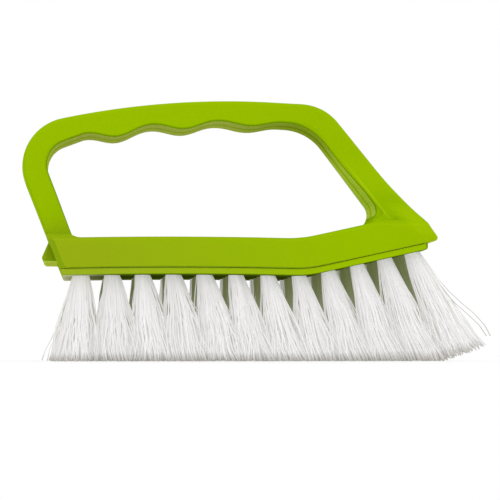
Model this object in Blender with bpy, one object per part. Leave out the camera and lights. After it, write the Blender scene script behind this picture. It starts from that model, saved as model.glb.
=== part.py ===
"""Scrub brush with a closed-loop handle.

Two moulded handle shells meet on the centre plane and trap a bristle block between them.
Bristle tufts sit in blind holes in the block. Metres; +X points to the nose, +Z up, and the
origin lies under the middle of the brush, on the plane of the trimmed bristle tips.
A point of the side view is a complex number, x + z * 1j, and a line is a point and a direction.
"""

import cmath
import math

import bmesh
import bpy
from mathutils import Vector
from mathutils.geometry import tessellate_polygon

# Base, seen from the side: heights count from the trimmed bristle tips, slopes are in degrees
BRISTLE_LENGTH = 0.02983
STRIP_HEIGHT = 0.00247
PANEL_HEIGHT = 0.0108
NOSE_RISE = 12.6
BEND_X = 0.0190
BEND_RADIUS = 0.0500
DECK_BEND_SHIFT = 0.0025
NOSE_DECK_RISE = 0.0059
HEEL_X = -0.0681
HEEL_LEAN = 22.3
NOSE_TIP_X = 0.0662
NOSE_END_LEAN = 36.0
NOSE_MIDDLE_LEAN = 26.5
NOSE_TIP_RADIUS = 0.0011
BASE_WIDTH = 0.0520
NOSE_BOW = 0.0029
SHOULDER_RISE = 0.0023
SHOULDER_DROP = 0.0006
BASE_EDGE_RADIUS = 0.0008

# Handle loop, outer outline
HANDLE_HEIGHT = 0.09383
HANDLE_THICKNESS = 0.0200
HANDLE_EDGE_RADIUS = 0.0016
CROWN_X = -0.0026
CROWN_RADIUS = 0.3016
CROWN_BACK_SLOPE = 12.7
CROWN_FRONT_SLOPE = -2.4
HIP_HEIGHT = 0.0659
HIP_RADIUS = 0.0171
REAR_CORNER_RADIUS = 0.0174
FRONT_CORNER_RADIUS = 0.01835
KNEE_X = 0.0494
KNEE_HEIGHT = 0.0656
KNEE_RADIUS = 0.135
UPPER_LEG_SLOPE = -50.7
LOWER_LEG_SLOPE = -44.8

# Opening of the loop, with ridges between the fingers
STRUT_FOOT_WIDTH = 0.0091
STRUT_INNER_LEAN = 21.6
LEG_WIDTH = 0.0086
LEG_INNER_SLOPE = -52.6
GRIP_THICKNESS = 0.0074
RIDGE_HEIGHTS = (0.0029, 0.0025, 0.0018)
RIDGE_PITCH = 0.0241
FIRST_RIDGE_X = -0.0479
RIDGE_SHARPNESS = 1.08
REAR_HOLLOW_SLOPE = 10.0
OPENING_REAR_RADIUS = 0.0090
OPENING_FRONT_RADIUS = 0.0185
OPENING_HEEL_RADIUS = 0.0040
OPENING_NOSE_RADIUS = 0.0053
OPENING_EDGE_RADIUS = 0.0006

# Heel lug, and the narrow step that frames the side panel
LUG_WIDTH = 0.0400
LUG_REACH = 0.0058
LUG_BOTTOM_RISE = 0.0025
LUG_HEIGHT = 0.0069
LUG_RADIUS = 0.0012
LUG_SIDE_RADIUS = 0.0010
HEEL_STEP_WIDTH = 0.0015
SIDE_INSET = 0.0005

# Moulding details inside the shells
WALL = 0.0020
CLEARANCE = 0.0003
SEAM_CHAMFER = 0.0006
RIB_THICKNESS = 0.0014
PIN_RADIUS = 0.0012
PIN_LENGTH = 0.0050
BOSS_RADIUS = 0.0026
RAIL_RISE = 0.0023
RAIL_HEIGHT = 0.0012
RAIL_DEPTH = 0.0016

# Bristle block
BLOCK_NOSE_INSET = 0.0043
BLOCK_HEEL_RADIUS = 0.0009
BLOCK_NOSE_RADIUS = 0.0012

# Tufts: margins run from the block's edges to the first and last holes
TUFT_ROWS = 4
TUFTS_PER_ROW = 12
TUFT_DIAMETER = 0.0052
TUFT_DEPTH = 0.0062
TUFT_HEEL_MARGIN = 0.0061
TUFT_NOSE_MARGIN = 0.0048
TUFT_SIDE_MARGIN = 0.0087
TUFT_CROWDING = 0.035
OUTER_STRANDS = 7
STRAND_SIDES = 3
STRAND_KNEE_DROP = 0.45
STRAND_KNEE_SPREAD = 0.36
STRAND_CIRCLE_RADIUS = 0.00175
STRAND_ROOT_RADIUS = 0.00052
STRAND_TIP_RADIUS = 0.00075
TUFT_SPREAD = 2.2
HEEL_TUFT_LEAN = -0.0019
NOSE_TUFT_LEAN = 0.0160
TUFT_LEAN_GROWTH = 0.8
SIDE_TUFT_LEAN = 0.0015
TRIM_END_X = 0.0680
TRIM_END_SLOPE = 18.0

# Faceting of the round shapes
ARC_STEP = math.radians(13)
ARC_CHORD = 0.0065
RIDGE_POINTS = 8
HOLE_SIDES = 8
PIN_SIDES = 10
EDGE_STEPS = 2
SHARP = math.radians(35)

# Finishes: linear colour and roughness
GREEN_PLASTIC = ((0.328, 0.515, 0.004, 1.0), 0.38)
WHITE_NYLON = ((0.80, 0.80, 0.78, 1.0), 0.55)

PARTING_Z = BRISTLE_LENGTH + STRIP_HEIGHT
FLOOR_Z = PARTING_Z + PANEL_HEIGHT
NOSE_DECK_Z = FLOOR_Z + NOSE_DECK_RISE
HALF_BASE = BASE_WIDTH / 2
HALF_HANDLE = HANDLE_THICKNESS / 2
HALF_BLOCK = HALF_BASE - SIDE_INSET
HALF_CAVITY = HALF_BASE - WALL
HALF_CORE = HALF_CAVITY - CLEARANCE
BURIED = 0.0005
BEYOND = 0.0050


def aimed(degrees):
    return cmath.rect(1.0, math.radians(degrees))


def cross(first, second):
    return (first.conjugate() * second).imag


def crossing(first, second):
    """Point where two endless lines meet."""
    (start, along), (other, across) = first, second
    return start + along * cross(other - start, across) / cross(along, across)


def level(height):
    return complex(0.0, height), 1.0 + 0.0j


def upright(x):
    return complex(x, 0.0), 1.0j


def nose_line(rise):
    """Line this far above the parting line, where the base bends up to the nose."""
    return complex(BEND_X, PARTING_Z + rise), aimed(NOSE_RISE)


def heel_line(inward=0.0):
    """Back of the base and of the strut above it, moved into the base."""
    shift = inward / math.cos(math.radians(HEEL_LEAN))
    return complex(HEEL_X + shift, PARTING_Z), aimed(90.0 + HEEL_LEAN)


def deck_line(rise=0.0):
    """Top of the base this far above the opening's floor, where it bends up to the nose."""
    return complex(BEND_X - DECK_BEND_SHIFT, FLOOR_Z + rise), aimed(NOSE_RISE)


def nose_share(y):
    """How far the front end has come out of its square plan: none at the sides, all at the middle."""
    return 1.0 - (y / HALF_BASE) ** 2


def nose_end_line(share, inward=0.0):
    """Front end of the base, moved into the base; it bows out and stands steeper toward the middle."""
    lean = NOSE_END_LEAN + (NOSE_MIDDLE_LEAN - NOSE_END_LEAN) * share
    tip = crossing(nose_line(0.0), upright(NOSE_TIP_X))
    shift = NOSE_BOW * share - inward / math.cos(math.radians(lean))
    return tip + shift, aimed(90.0 + lean)


def crown_height(x):
    return HANDLE_HEIGHT - CROWN_RADIUS + math.sqrt(CROWN_RADIUS ** 2 - (x - CROWN_X) ** 2)


def crown_tangent(slope):
    x = CROWN_X - CROWN_RADIUS * math.sin(math.radians(slope))
    return complex(x, crown_height(x)), aimed(slope)


def grip_underside(x):
    """Height of the grip's underside: a copy of the crown with a ridge between each two fingers."""
    height = crown_height(x) - GRIP_THICKNESS
    for i, ridge in enumerate(RIDGE_HEIGHTS):
        distance = abs(x - FIRST_RIDGE_X - i * RIDGE_PITCH) / RIDGE_PITCH
        if distance < 0.5:
            height -= ridge * (0.5 + 0.5 * math.cos(2 * math.pi * distance)) ** RIDGE_SHARPNESS
    return height


def shoulder(y):
    """Height of the base's top over the floor of the opening: level under the handle, then sloping."""
    share = min(1.0, (HALF_BASE - y) / (HALF_BASE - HALF_HANDLE))
    return (SHOULDER_RISE + SHOULDER_DROP) * share - SHOULDER_DROP


def offset_corners(corners, inset):
    """Corners (point, radius) of a counter-clockwise polygon, each side moved inward by inset."""
    moved = []
    for i, (point, radius) in enumerate(corners):
        before = point - corners[i - 1][0]
        after = corners[(i + 1) % len(corners)][0] - point
        before, after = before / abs(before), after / abs(after)
        shift = 1j * (before + after) * inset / (1.0 + (before.conjugate() * after).real)
        if radius:
            radius = max(radius - math.copysign(inset, cross(before, after)), radius / 8)
        moved.append((point + shift, radius))
    return moved


def corner_turns(corners):
    """Sides of a polygon, and the angle by which it turns at each corner."""
    count = len(corners)
    sides = [corners[(i + 1) % count][0] - corners[i][0] for i in range(count)]
    return sides, [cmath.phase(sides[i] / sides[i - 1]) for i in range(count)]


def arc_steps(corners):
    """How many steps the round at each corner takes."""
    _, turns = corner_turns(corners)
    return [math.ceil(max(abs(turn) / ARC_STEP, abs(turn) * radius / ARC_CHORD))
            for turn, (_, radius) in zip(turns, corners)]


def outline(corners, inset=0.0, steps=None):
    """Points of a counter-clockwise polygon with rounded corners, each side moved inward by inset."""
    steps = steps or arc_steps(corners)
    corners = offset_corners(corners, inset)
    count = len(corners)
    sides, turns = corner_turns(corners)
    reaches = [corners[i][1] * math.tan(abs(turns[i]) / 2) for i in range(count)]
    room = [min(1.0, abs(sides[i]) / max(reaches[i] + reaches[(i + 1) % count], abs(sides[i])))
            for i in range(count)]
    points = []
    for i, (point, radius) in enumerate(corners):
        if not radius:
            points.append(point)
            continue
        radius *= min(room[i - 1], room[i])
        before = sides[i - 1] / abs(sides[i - 1])
        start = point - before * radius * math.tan(abs(turns[i]) / 2)
        spoke = -1j * before * math.copysign(radius, turns[i])
        for k in range(steps[i] + 1):
            points.append(start - spoke + spoke * cmath.rect(1.0, turns[i] * k / steps[i]))
    return points


def base_corners(rise, share):
    """The base, seen from the side, with its top this far over the floor of the opening."""
    end = nose_end_line(share)
    return [
        (crossing(heel_line(), level(PARTING_Z)), 0.0),
        (complex(BEND_X, PARTING_Z), BEND_RADIUS),
        (crossing(nose_line(0.0), end), NOSE_TIP_RADIUS),
        (crossing(end, level(NOSE_DECK_Z + rise)), NOSE_TIP_RADIUS),
        (crossing(deck_line(rise), level(NOSE_DECK_Z + rise)), 0.0),
        (deck_line(rise)[0], BEND_RADIUS),
        (crossing(heel_line(), level(FLOOR_Z + rise)), 0.0),
    ]


def cavity_corners(shrink, bottom_rise):
    """Space inside the base, or the block's core that fills it with a gap of shrink all round."""
    deck_rise = PANEL_HEIGHT - SHOULDER_DROP - WALL - shrink
    deck = NOSE_DECK_Z - SHOULDER_DROP - WALL
    end = crossing(level(deck), nose_end_line(nose_share(HALF_CAVITY), WALL)).real - shrink
    heel = heel_line(WALL + shrink)
    return [
        (crossing(heel, level(PARTING_Z + bottom_rise)), 0.0),
        (complex(BEND_X, PARTING_Z + bottom_rise), 0.0),
        (crossing(nose_line(bottom_rise), upright(end)), 0.0),
        (complex(end, deck - shrink), 0.0),
        (crossing(nose_line(deck_rise), level(deck - shrink)), 0.0),
        (complex(BEND_X, PARTING_Z + deck_rise), 0.0),
        (crossing(heel, level(PARTING_Z + deck_rise)), 0.0),
    ]


def band_corners(low, high, heel, nose_x):
    """Strip of the side view between two heights over the bent parting line."""
    return [
        (crossing(heel, level(PARTING_Z + low)), 0.0),
        (complex(BEND_X, PARTING_Z + low), 0.0),
        (crossing(nose_line(low), upright(nose_x)), 0.0),
        (crossing(nose_line(high), upright(nose_x)), 0.0),
        (complex(BEND_X, PARTING_Z + high), 0.0),
        (crossing(heel, level(PARTING_Z + high)), 0.0),
    ]


def knee():
    return complex(KNEE_X, KNEE_HEIGHT)


def leg_inner_line():
    along = aimed(LEG_INNER_SLOPE)
    return knee() - 1j * along * LEG_WIDTH, along


def strut_inner_line():
    foot = crossing(heel_line(), level(FLOOR_Z)) + STRUT_FOOT_WIDTH
    return foot, aimed(90.0 + STRUT_INNER_LEAN)


def handle_corners():
    """Outer outline of the loop, with its feet buried in the base."""
    foot_rise = PANEL_HEIGHT / 2
    back_slope, front_slope = crown_tangent(CROWN_BACK_SLOPE), crown_tangent(CROWN_FRONT_SLOPE)
    hip = crossing(heel_line(), level(HIP_HEIGHT))
    foot_level = level(NOSE_DECK_Z + SHOULDER_RISE - BURIED)
    return [
        (crossing(heel_line(BURIED), level(PARTING_Z + foot_rise)), 0.0),
        (complex(BEND_X, PARTING_Z + foot_rise), 0.0),
        (crossing(nose_line(foot_rise), nose_end_line(0.0, WALL)), 0.0),
        (crossing((knee(), aimed(LOWER_LEG_SLOPE)), foot_level), 0.0),
        (knee(), KNEE_RADIUS),
        (crossing((knee(), aimed(UPPER_LEG_SLOPE)), front_slope), FRONT_CORNER_RADIUS),
        (crossing(front_slope, back_slope), CROWN_RADIUS),
        (crossing(back_slope, upright(hip.real)), REAR_CORNER_RADIUS),
        (hip, HIP_RADIUS),
        (crossing(heel_line(), level(FLOOR_Z + SHOULDER_RISE - BURIED)), 0.0),
    ]


def opening_corners():
    """Outline of the hand opening."""
    rear_x = FIRST_RIDGE_X - RIDGE_PITCH / 2
    front_x = rear_x + RIDGE_PITCH * len(RIDGE_HEIGHTS)
    spans = RIDGE_POINTS * len(RIDGE_HEIGHTS)
    wave = [front_x + (rear_x - front_x) * k / spans for k in range(spans + 1)]
    front, rear = [(complex(x, grip_underside(x)), 1j * (complex(x, crown_height(x)) - crown_centre()))
                   for x in (front_x, rear_x)]
    rear = rear[0], rear[1] * aimed(REAR_HOLLOW_SLOPE)
    return [
        (crossing(strut_inner_line(), level(FLOOR_Z)), OPENING_HEEL_RADIUS),
        (deck_line()[0], BEND_RADIUS),
        (crossing(deck_line(), leg_inner_line()), OPENING_NOSE_RADIUS),
        (crossing(leg_inner_line(), front), OPENING_FRONT_RADIUS),
        *[(complex(x, grip_underside(x)), 0.0) for x in wave],
        (crossing(rear, strut_inner_line()), OPENING_REAR_RADIUS),
    ]


def crown_centre():
    return complex(CROWN_X, HANDLE_HEIGHT - CROWN_RADIUS)


def lug_corners():
    bottom, inner = level(PARTING_Z + LUG_BOTTOM_RISE), heel_line(WALL / 2)
    corner = crossing(heel_line(), bottom) - LUG_REACH
    top = crossing(heel_line(), level(PARTING_Z + LUG_BOTTOM_RISE + LUG_HEIGHT))
    return [
        (corner, LUG_RADIUS),
        (crossing(inner, bottom), 0.0),
        (crossing(inner, (corner, top - corner)), 0.0),
    ]


def plate_corners(share):
    """The block's plate, seen from the side; its nose end bows out as the base's does."""
    top = -CLEARANCE
    end = upright(NOSE_TIP_X - BLOCK_NOSE_INSET + NOSE_BOW * share)
    return [
        (crossing(heel_line(), level(BRISTLE_LENGTH)), BLOCK_HEEL_RADIUS),
        (complex(BEND_X, BRISTLE_LENGTH), BEND_RADIUS),
        (crossing(nose_line(-STRIP_HEIGHT), end), BLOCK_NOSE_RADIUS),
        (crossing(nose_line(top), end), 0.0),
        (complex(BEND_X, PARTING_Z + top), BEND_RADIUS),
        (crossing(heel_line(), level(PARTING_Z + top)), 0.0),
    ]


def ring(points, y):
    return [Vector((point.real, y, point.imag)) for point in points]


def solid(name, rings):
    """Closed solid lofted through rings that have the same number of points."""
    shape = bmesh.new()
    loops = [[shape.verts.new(point) for point in points] for points in rings]
    for near, far in zip(loops, loops[1:]):
        for i in range(len(near)):
            j = (i + 1) % len(near)
            shape.faces.new((near[i], near[j], far[j], far[i]))
    shape.faces.new(reversed(loops[0]))
    shape.faces.new(loops[-1])
    return finished(name, shape)


def finished(name, shape):
    """Object made from a bmesh, with its faces turned outward."""
    bmesh.ops.recalc_face_normals(shape, faces=shape.faces)
    mesh = bpy.data.meshes.new(name)
    shape.to_mesh(mesh)
    shape.free()
    made = bpy.data.objects.new(name, mesh)
    bpy.context.collection.objects.link(made)
    return made


def slab(name, corners, start, end, inset=0.0):
    """Straight extrusion of an outline across the brush."""
    points = outline(corners, inset)
    return solid(name, [ring(points, start), ring(points, end)])


def edge_rounding(radius):
    """Pairs of inset and distance from the face, for an edge rounded to this radius."""
    turns = [math.pi / 2 * k / EDGE_STEPS for k in range(EDGE_STEPS + 1)]
    return [(radius * (1 - math.cos(turn)), radius * (1 - math.sin(turn))) for turn in turns]


def half_plate(name, side, corners_at, half_width, radius, stations=()):
    """Half of a plate, from its chamfered seam on the centre plane out to its rounded face."""
    places = [(SEAM_CHAMFER, 0.0), (0.0, SEAM_CHAMFER)]
    places += [(0.0, y) for y in stations]
    places += [(inset, half_width - back) for inset, back in edge_rounding(radius)]
    steps = arc_steps(corners_at(0.0))
    return solid(name, [ring(outline(corners_at(y), inset, steps), side * y) for inset, y in places])


def apply(target, tool, operation):
    """Cut one object with another, or join them, and remove the tool."""
    modifier = target.modifiers.new(operation, "BOOLEAN")
    modifier.operation = operation
    modifier.solver = "EXACT"
    modifier.object = tool
    bpy.context.view_layer.update()
    result = bpy.data.meshes.new_from_object(target.evaluated_get(bpy.context.evaluated_depsgraph_get()))
    target.modifiers.clear()
    target.data = result
    bpy.data.objects.remove(tool)


def cut(target, tool):
    apply(target, tool, "DIFFERENCE")


def join(target, tool):
    apply(target, tool, "UNION")


def opening_cutter(side):
    """The hand opening, wider at the handle's face and at the seam, where edges are rounded."""
    corners = opening_corners()
    plain = outline(corners)
    blend_from, blend_to = FLOOR_Z + OPENING_HEEL_RADIUS, FLOOR_Z + 2 * OPENING_HEEL_RADIUS
    chamfered = outline(corners, -SEAM_CHAMFER)
    rings = [ring(chamfered, -side * BEYOND), ring(chamfered, 0.0)]
    rings.append(ring(plain, side * SEAM_CHAMFER))
    flare = [(inset, HALF_HANDLE - back) for inset, back in edge_rounding(OPENING_EDGE_RADIUS)]
    for inset, y in flare + [(OPENING_EDGE_RADIUS, HALF_BASE + BEYOND)]:
        wide = outline(corners, -inset)
        shares = [min(1.0, max(0.0, (p.imag - blend_from) / (blend_to - blend_from))) for p in plain]
        rings.append(ring([p + (q - p) * share for p, q, share in zip(plain, wide, shares)], side * y))
    return solid("opening", rings)


def pin_places():
    """Pins in the ridges of the grip, in the strut and in the leg, at mid-width."""
    places = []
    for i in range(len(RIDGE_HEIGHTS)):
        x = FIRST_RIDGE_X + i * RIDGE_PITCH
        places.append(complex(x, (crown_height(x) + grip_underside(x)) / 2))
    strut = level((FLOOR_Z + HIP_HEIGHT) / 2)
    places.append((crossing(heel_line(), strut) + crossing(strut_inner_line(), strut)) / 2)
    places.append(knee() - 1j * aimed(LEG_INNER_SLOPE) * LEG_WIDTH / 2)
    return places


def rod(name, place, radius, start, end):
    """Round rod across the brush."""
    points = [place + cmath.rect(radius, 2 * math.pi * k / PIN_SIDES) for k in range(PIN_SIDES)]
    return solid(name, [ring(points, start), ring(points, end)])


def rib(x, side):
    """Upright rib across the grip's hollow at this x."""
    left, right = x - RIB_THICKNESS / 2, x + RIB_THICKNESS / 2
    low, high = grip_underside(x) - WALL, HANDLE_HEIGHT
    corners = [complex(left, low), complex(right, low), complex(right, high), complex(left, high)]
    return slab("rib", [(corner, 0.0) for corner in corners], -side * BEYOND * 2, side * HALF_BASE)


def handle_hollow(side):
    """Hollow inside the loop, with ribs left standing between the fingers and beside the corners."""
    depth = side * (HALF_HANDLE - WALL)
    hollow = slab("hollow", handle_corners(), -side * BEYOND, depth, WALL)
    cut(hollow, slab("core", opening_corners(), -side * BEYOND * 2, side * HALF_BASE, -WALL))
    foot = base_corners(SHOULDER_RISE, nose_share(0.0))
    cut(hollow, slab("foot", foot, -side * BEYOND * 2, side * HALF_BASE, -WALL))
    for i in range(len(RIDGE_HEIGHTS) + 1):
        cut(hollow, rib(FIRST_RIDGE_X + (i - 0.5) * RIDGE_PITCH, side))
    return hollow


def base_half(side):
    stations = [HALF_HANDLE * 0.5, HALF_HANDLE]
    stations += [HALF_HANDLE + (HALF_BASE - HALF_HANDLE) * k / 4 for k in (1, 2, 3)]
    return half_plate("base", side, lambda y: base_corners(shoulder(y), nose_share(y)), HALF_BASE,
                      BASE_EDGE_RADIUS, stations)


def heel_step(side):
    """Narrow band beside the heel that is cut back level with the block's side."""
    heel = heel_line(HEEL_STEP_WIDTH)
    low, high = level(PARTING_Z - BEYOND), level(FLOOR_Z + BEYOND)
    corners = [crossing(heel_line(-BEYOND), low), crossing(heel, low), crossing(heel, high),
               crossing(heel_line(-BEYOND), high)]
    corners = [(corner, 0.0) for corner in corners]
    return slab("step", corners, side * HALF_BLOCK, side * (HALF_BASE + BEYOND))


def rail(side):
    """Rail inside the side wall that holds the block up by its groove."""
    top, end = RAIL_RISE + RAIL_HEIGHT, cavity_end() + WALL / 2
    corners = band_corners(RAIL_RISE, top, heel_line(WALL / 2), end)
    return slab("rail", corners, side * (HALF_CAVITY - RAIL_DEPTH), side * (HALF_CAVITY + BURIED))


def cavity_end():
    return max(point.real for point, _ in cavity_corners(0.0, 0.0))


def handle_shell(name, side, has_pins, finish):
    """One moulded half of the handle and the base; side is -1 for the right half and 1 for the left."""
    shell = base_half(side)
    join(shell, half_plate("loop", side, lambda y: handle_corners(), HALF_HANDLE, HANDLE_EDGE_RADIUS))
    cut(shell, opening_cutter(side))
    cut(shell, slab("cavity", cavity_corners(0.0, -BEYOND), -side * BEYOND, side * HALF_CAVITY))
    cut(shell, handle_hollow(side))
    cut(shell, heel_step(side))
    join(shell, half_plate("lug", side, lambda y: lug_corners(), LUG_WIDTH / 2, LUG_SIDE_RADIUS))
    join(shell, rail(side))
    for place in pin_places():
        join(shell, rod("boss", place, BOSS_RADIUS, 0.0, side * (HALF_HANDLE - WALL + BURIED)))
        if has_pins:
            join(shell, rod("pin", place, PIN_RADIUS, side * WALL, -side * PIN_LENGTH))
        else:
            depth = side * (PIN_LENGTH + CLEARANCE)
            cut(shell, rod("socket", place, PIN_RADIUS + CLEARANCE, -side * BEYOND, depth))
    return dressed(shell, name, finish)


def underside_length():
    """Lengths of the block's underside: the level part behind the bend and the sloped part before it."""
    flat = BEND_X - crossing(heel_line(), level(BRISTLE_LENGTH)).real
    sloped = (NOSE_TIP_X - BLOCK_NOSE_INSET - BEND_X) / math.cos(math.radians(NOSE_RISE))
    return flat, sloped


def tuft_place(column):
    """Root of a tuft on the underside, the direction of the underside there and its share of the way."""
    flat, sloped = underside_length()
    span = flat + sloped - TUFT_HEEL_MARGIN - TUFT_NOSE_MARGIN
    share = column / (TUFTS_PER_ROW - 1)
    distance = TUFT_HEEL_MARGIN + span * (share + TUFT_CROWDING * share * (1 - share))
    bend = complex(BEND_X, BRISTLE_LENGTH)
    along = 1.0 + 0.0j if distance < flat else aimed(NOSE_RISE)
    return bend + along * (distance - flat), along, share


def row_y(row):
    half_span = HALF_BLOCK - TUFT_SIDE_MARGIN
    return half_span * (2 * row / (TUFT_ROWS - 1) - 1)


def round_section(place, along, y, radius, depth):
    """Ring of points round a tuft's axis, this deep in the block."""
    points = []
    for k in range(HOLE_SIDES):
        angle = 2 * math.pi * (k + 0.5) / HOLE_SIDES
        point = place + along * (radius * math.cos(angle) + 1j * depth)
        points.append(Vector((point.real, y + radius * math.sin(angle), point.imag)))
    return points


def hole_cutters():
    """All the blind tuft holes as one cutter."""
    cutters = bmesh.new()
    for row in range(TUFT_ROWS):
        for column in range(TUFTS_PER_ROW):
            place, along, _ = tuft_place(column)
            radius = TUFT_DIAMETER / 2 + CLEARANCE
            ends = [round_section(place, along, row_y(row), radius, depth)
                    for depth in (-BEYOND / 2, TUFT_DEPTH + CLEARANCE)]
            loops = [[cutters.verts.new(point) for point in end] for end in ends]
            for k in range(HOLE_SIDES):
                j = (k + 1) % HOLE_SIDES
                cutters.faces.new((loops[0][k], loops[0][j], loops[1][j], loops[1][k]))
            cutters.faces.new(loops[0])
            cutters.faces.new(loops[1])
    return finished("holes", cutters)


def bristle_block(finish):
    """Plate under the base, with a raised core that the shells' rails hold from both sides."""
    places = [(inset, HALF_BLOCK - back) for inset, back in edge_rounding(BASE_EDGE_RADIUS)]
    places = places[::-1] + [(0.0, HALF_BLOCK * share) for share in (0.6, 0.3, 0.0, -0.3, -0.6)]
    places += [(inset, -y) for inset, y in places[:EDGE_STEPS + 1][::-1]]
    block = solid("plate", [ring(outline(plate_corners(nose_share(y)), inset), y) for inset, y in places])
    join(block, slab("core", cavity_corners(CLEARANCE, -CLEARANCE - BURIED), -HALF_CORE, HALF_CORE))
    low, high = RAIL_RISE - CLEARANCE, RAIL_RISE + RAIL_HEIGHT + CLEARANCE
    groove = band_corners(low, high, heel_line(), NOSE_TIP_X)
    for side in (-1, 1):
        cut(block, slab("groove", groove, side * (HALF_CORE - RAIL_DEPTH), side * (HALF_CORE + BEYOND)))
    cut(block, hole_cutters())
    return dressed(block, "bristle_block", finish)


def trimmed_height(x):
    """Height of the trimmed tips: level, then rising at the nose."""
    return max(0.0, x - TRIM_END_X) * math.tan(math.radians(TRIM_END_SLOPE))


def strand_sections(offset, place, along, share, y, phase):
    """Sections of one strand, from its root in the tuft over a knee to its trimmed tip."""
    lean_x = HEEL_TUFT_LEAN + (NOSE_TUFT_LEAN - HEEL_TUFT_LEAN) * share ** TUFT_LEAN_GROWTH
    lean_y = SIDE_TUFT_LEAN * y / HALF_BLOCK
    root = place + along * offset.real
    root_y = y + offset.imag
    tip_x = place.real + lean_x + offset.real * TUFT_SPREAD
    tip = complex(tip_x, trimmed_height(tip_x))
    tip_y = y + lean_y + offset.imag * TUFT_SPREAD
    sections = []
    stops = ((0.0, 0.0, STRAND_ROOT_RADIUS), (STRAND_KNEE_DROP, STRAND_KNEE_SPREAD, STRAND_ROOT_RADIUS),
             (1.0, 1.0, STRAND_TIP_RADIUS))
    for drop, spread, radius in stops:
        reach = tip - root
        centre = complex(root.real + reach.real * spread, root.imag + reach.imag * drop)
        centre_y = root_y + (tip_y - root_y) * spread
        flat = along if drop == 0.0 else 1.0 + 0.0j
        section = []
        for k in range(STRAND_SIDES):
            corner = cmath.rect(radius, phase + 2 * math.pi * k / STRAND_SIDES)
            point = centre + flat * corner.real
            section.append(Vector((point.real, centre_y + corner.imag, point.imag)))
        sections.append(section)
    return sections


def strand_offsets(phase):
    """Centres of a tuft's strands in its root: one in the middle and a circle round it."""
    turn = 2 * math.pi / OUTER_STRANDS
    return [0.0j] + [cmath.rect(STRAND_CIRCLE_RADIUS, phase + turn * k) for k in range(OUTER_STRANDS)]


def tuft(row, column, finish):
    """One tuft: its root plug in the block and the strands that grow from the plug's end."""
    place, along, share = tuft_place(column)
    y = row_y(row)
    phase = (row * TUFTS_PER_ROW + column) * math.pi * (3 - math.sqrt(5))
    shape = bmesh.new()
    radius = TUFT_DIAMETER / 2
    ends = [round_section(place, along, y, radius, depth) for depth in (TUFT_DEPTH, 0.0)]
    top, mouth = [[shape.verts.new(point) for point in end] for end in ends]
    shape.faces.new(top)
    for k in range(HOLE_SIDES):
        j = (k + 1) % HOLE_SIDES
        shape.faces.new((top[k], top[j], mouth[j], mouth[k]))
    strands = []
    for number, offset in enumerate(strand_offsets(phase)):
        sections = strand_sections(offset, place, along, share, y, phase + number)
        strands.append([[shape.verts.new(point) for point in section] for section in sections])
    for loops in strands:
        for near, far in zip(loops, loops[1:]):
            for k in range(STRAND_SIDES):
                j = (k + 1) % STRAND_SIDES
                shape.faces.new((near[k], near[j], far[j], far[k]))
        shape.faces.new(loops[-1])
    rims = [mouth] + [loops[0] for loops in strands]
    corners = [corner for rim in rims for corner in rim]
    for triangle in tessellate_polygon([[corner.co for corner in rim] for rim in rims]):
        shape.faces.new([corners[k] for k in triangle])
    made = finished("tuft", shape)
    return dressed(made, f"tuft_r{row + 1}_c{column + 1:02d}", finish)


def material(name, finish):
    colour, roughness = finish
    made = bpy.data.materials.new(name)
    made.use_nodes = True
    shader = made.node_tree.nodes["Principled BSDF"]
    shader.inputs["Base Color"].default_value = colour
    shader.inputs["Roughness"].default_value = roughness
    shader.inputs["Metallic"].default_value = 0.0
    made.diffuse_color = colour
    return made


def dressed(made, name, finish):
    """The finished piece, under its own name, with its material and smooth round faces."""
    made.name = name
    made.data.name = name
    made.data.materials.clear()
    made.data.materials.append(material(name, finish))
    made.data.shade_smooth()
    made.data.set_sharp_from_angle(angle=SHARP)
    return made


def centre_on_origin(pieces):
    """Move the brush so that the middle of its box is over the origin."""
    points = [corner.co for piece in pieces for corner in piece.data.vertices]
    middle = [(min(p[axis] for p in points) + max(p[axis] for p in points)) / 2 for axis in (0, 1)]
    for piece in pieces:
        piece.location = (-middle[0], -middle[1], 0.0)


def main():
    for leftover in list(bpy.data.objects):
        bpy.data.objects.remove(leftover)
    pieces = [
        handle_shell("right_handle_shell", -1, True, GREEN_PLASTIC),
        handle_shell("left_handle_shell", 1, False, GREEN_PLASTIC),
        bristle_block(GREEN_PLASTIC),
    ]
    for row in range(TUFT_ROWS):
        for column in range(TUFTS_PER_ROW):
            pieces.append(tuft(row, column, WHITE_NYLON))
    centre_on_origin(pieces)


main()
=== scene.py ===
# %% [markdown]
# # A scrub brush with a loop handle
# The brush is a hand tool for scrubbing floors and tubs. Two moulded halves of lime green plastic meet on
# the middle plane, with one line of joint all round the loop. They close round a block that carries 48
# tufts of white nylon. The packed solids come in first, as a frame.
# Every piece below is drawn again over its own solid, with the finer rounding that the light shows.

# %% Load the packed solids
import cmath
import math

import bmesh
import bpy
import numpy as np
from mathutils import Matrix, Vector


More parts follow.
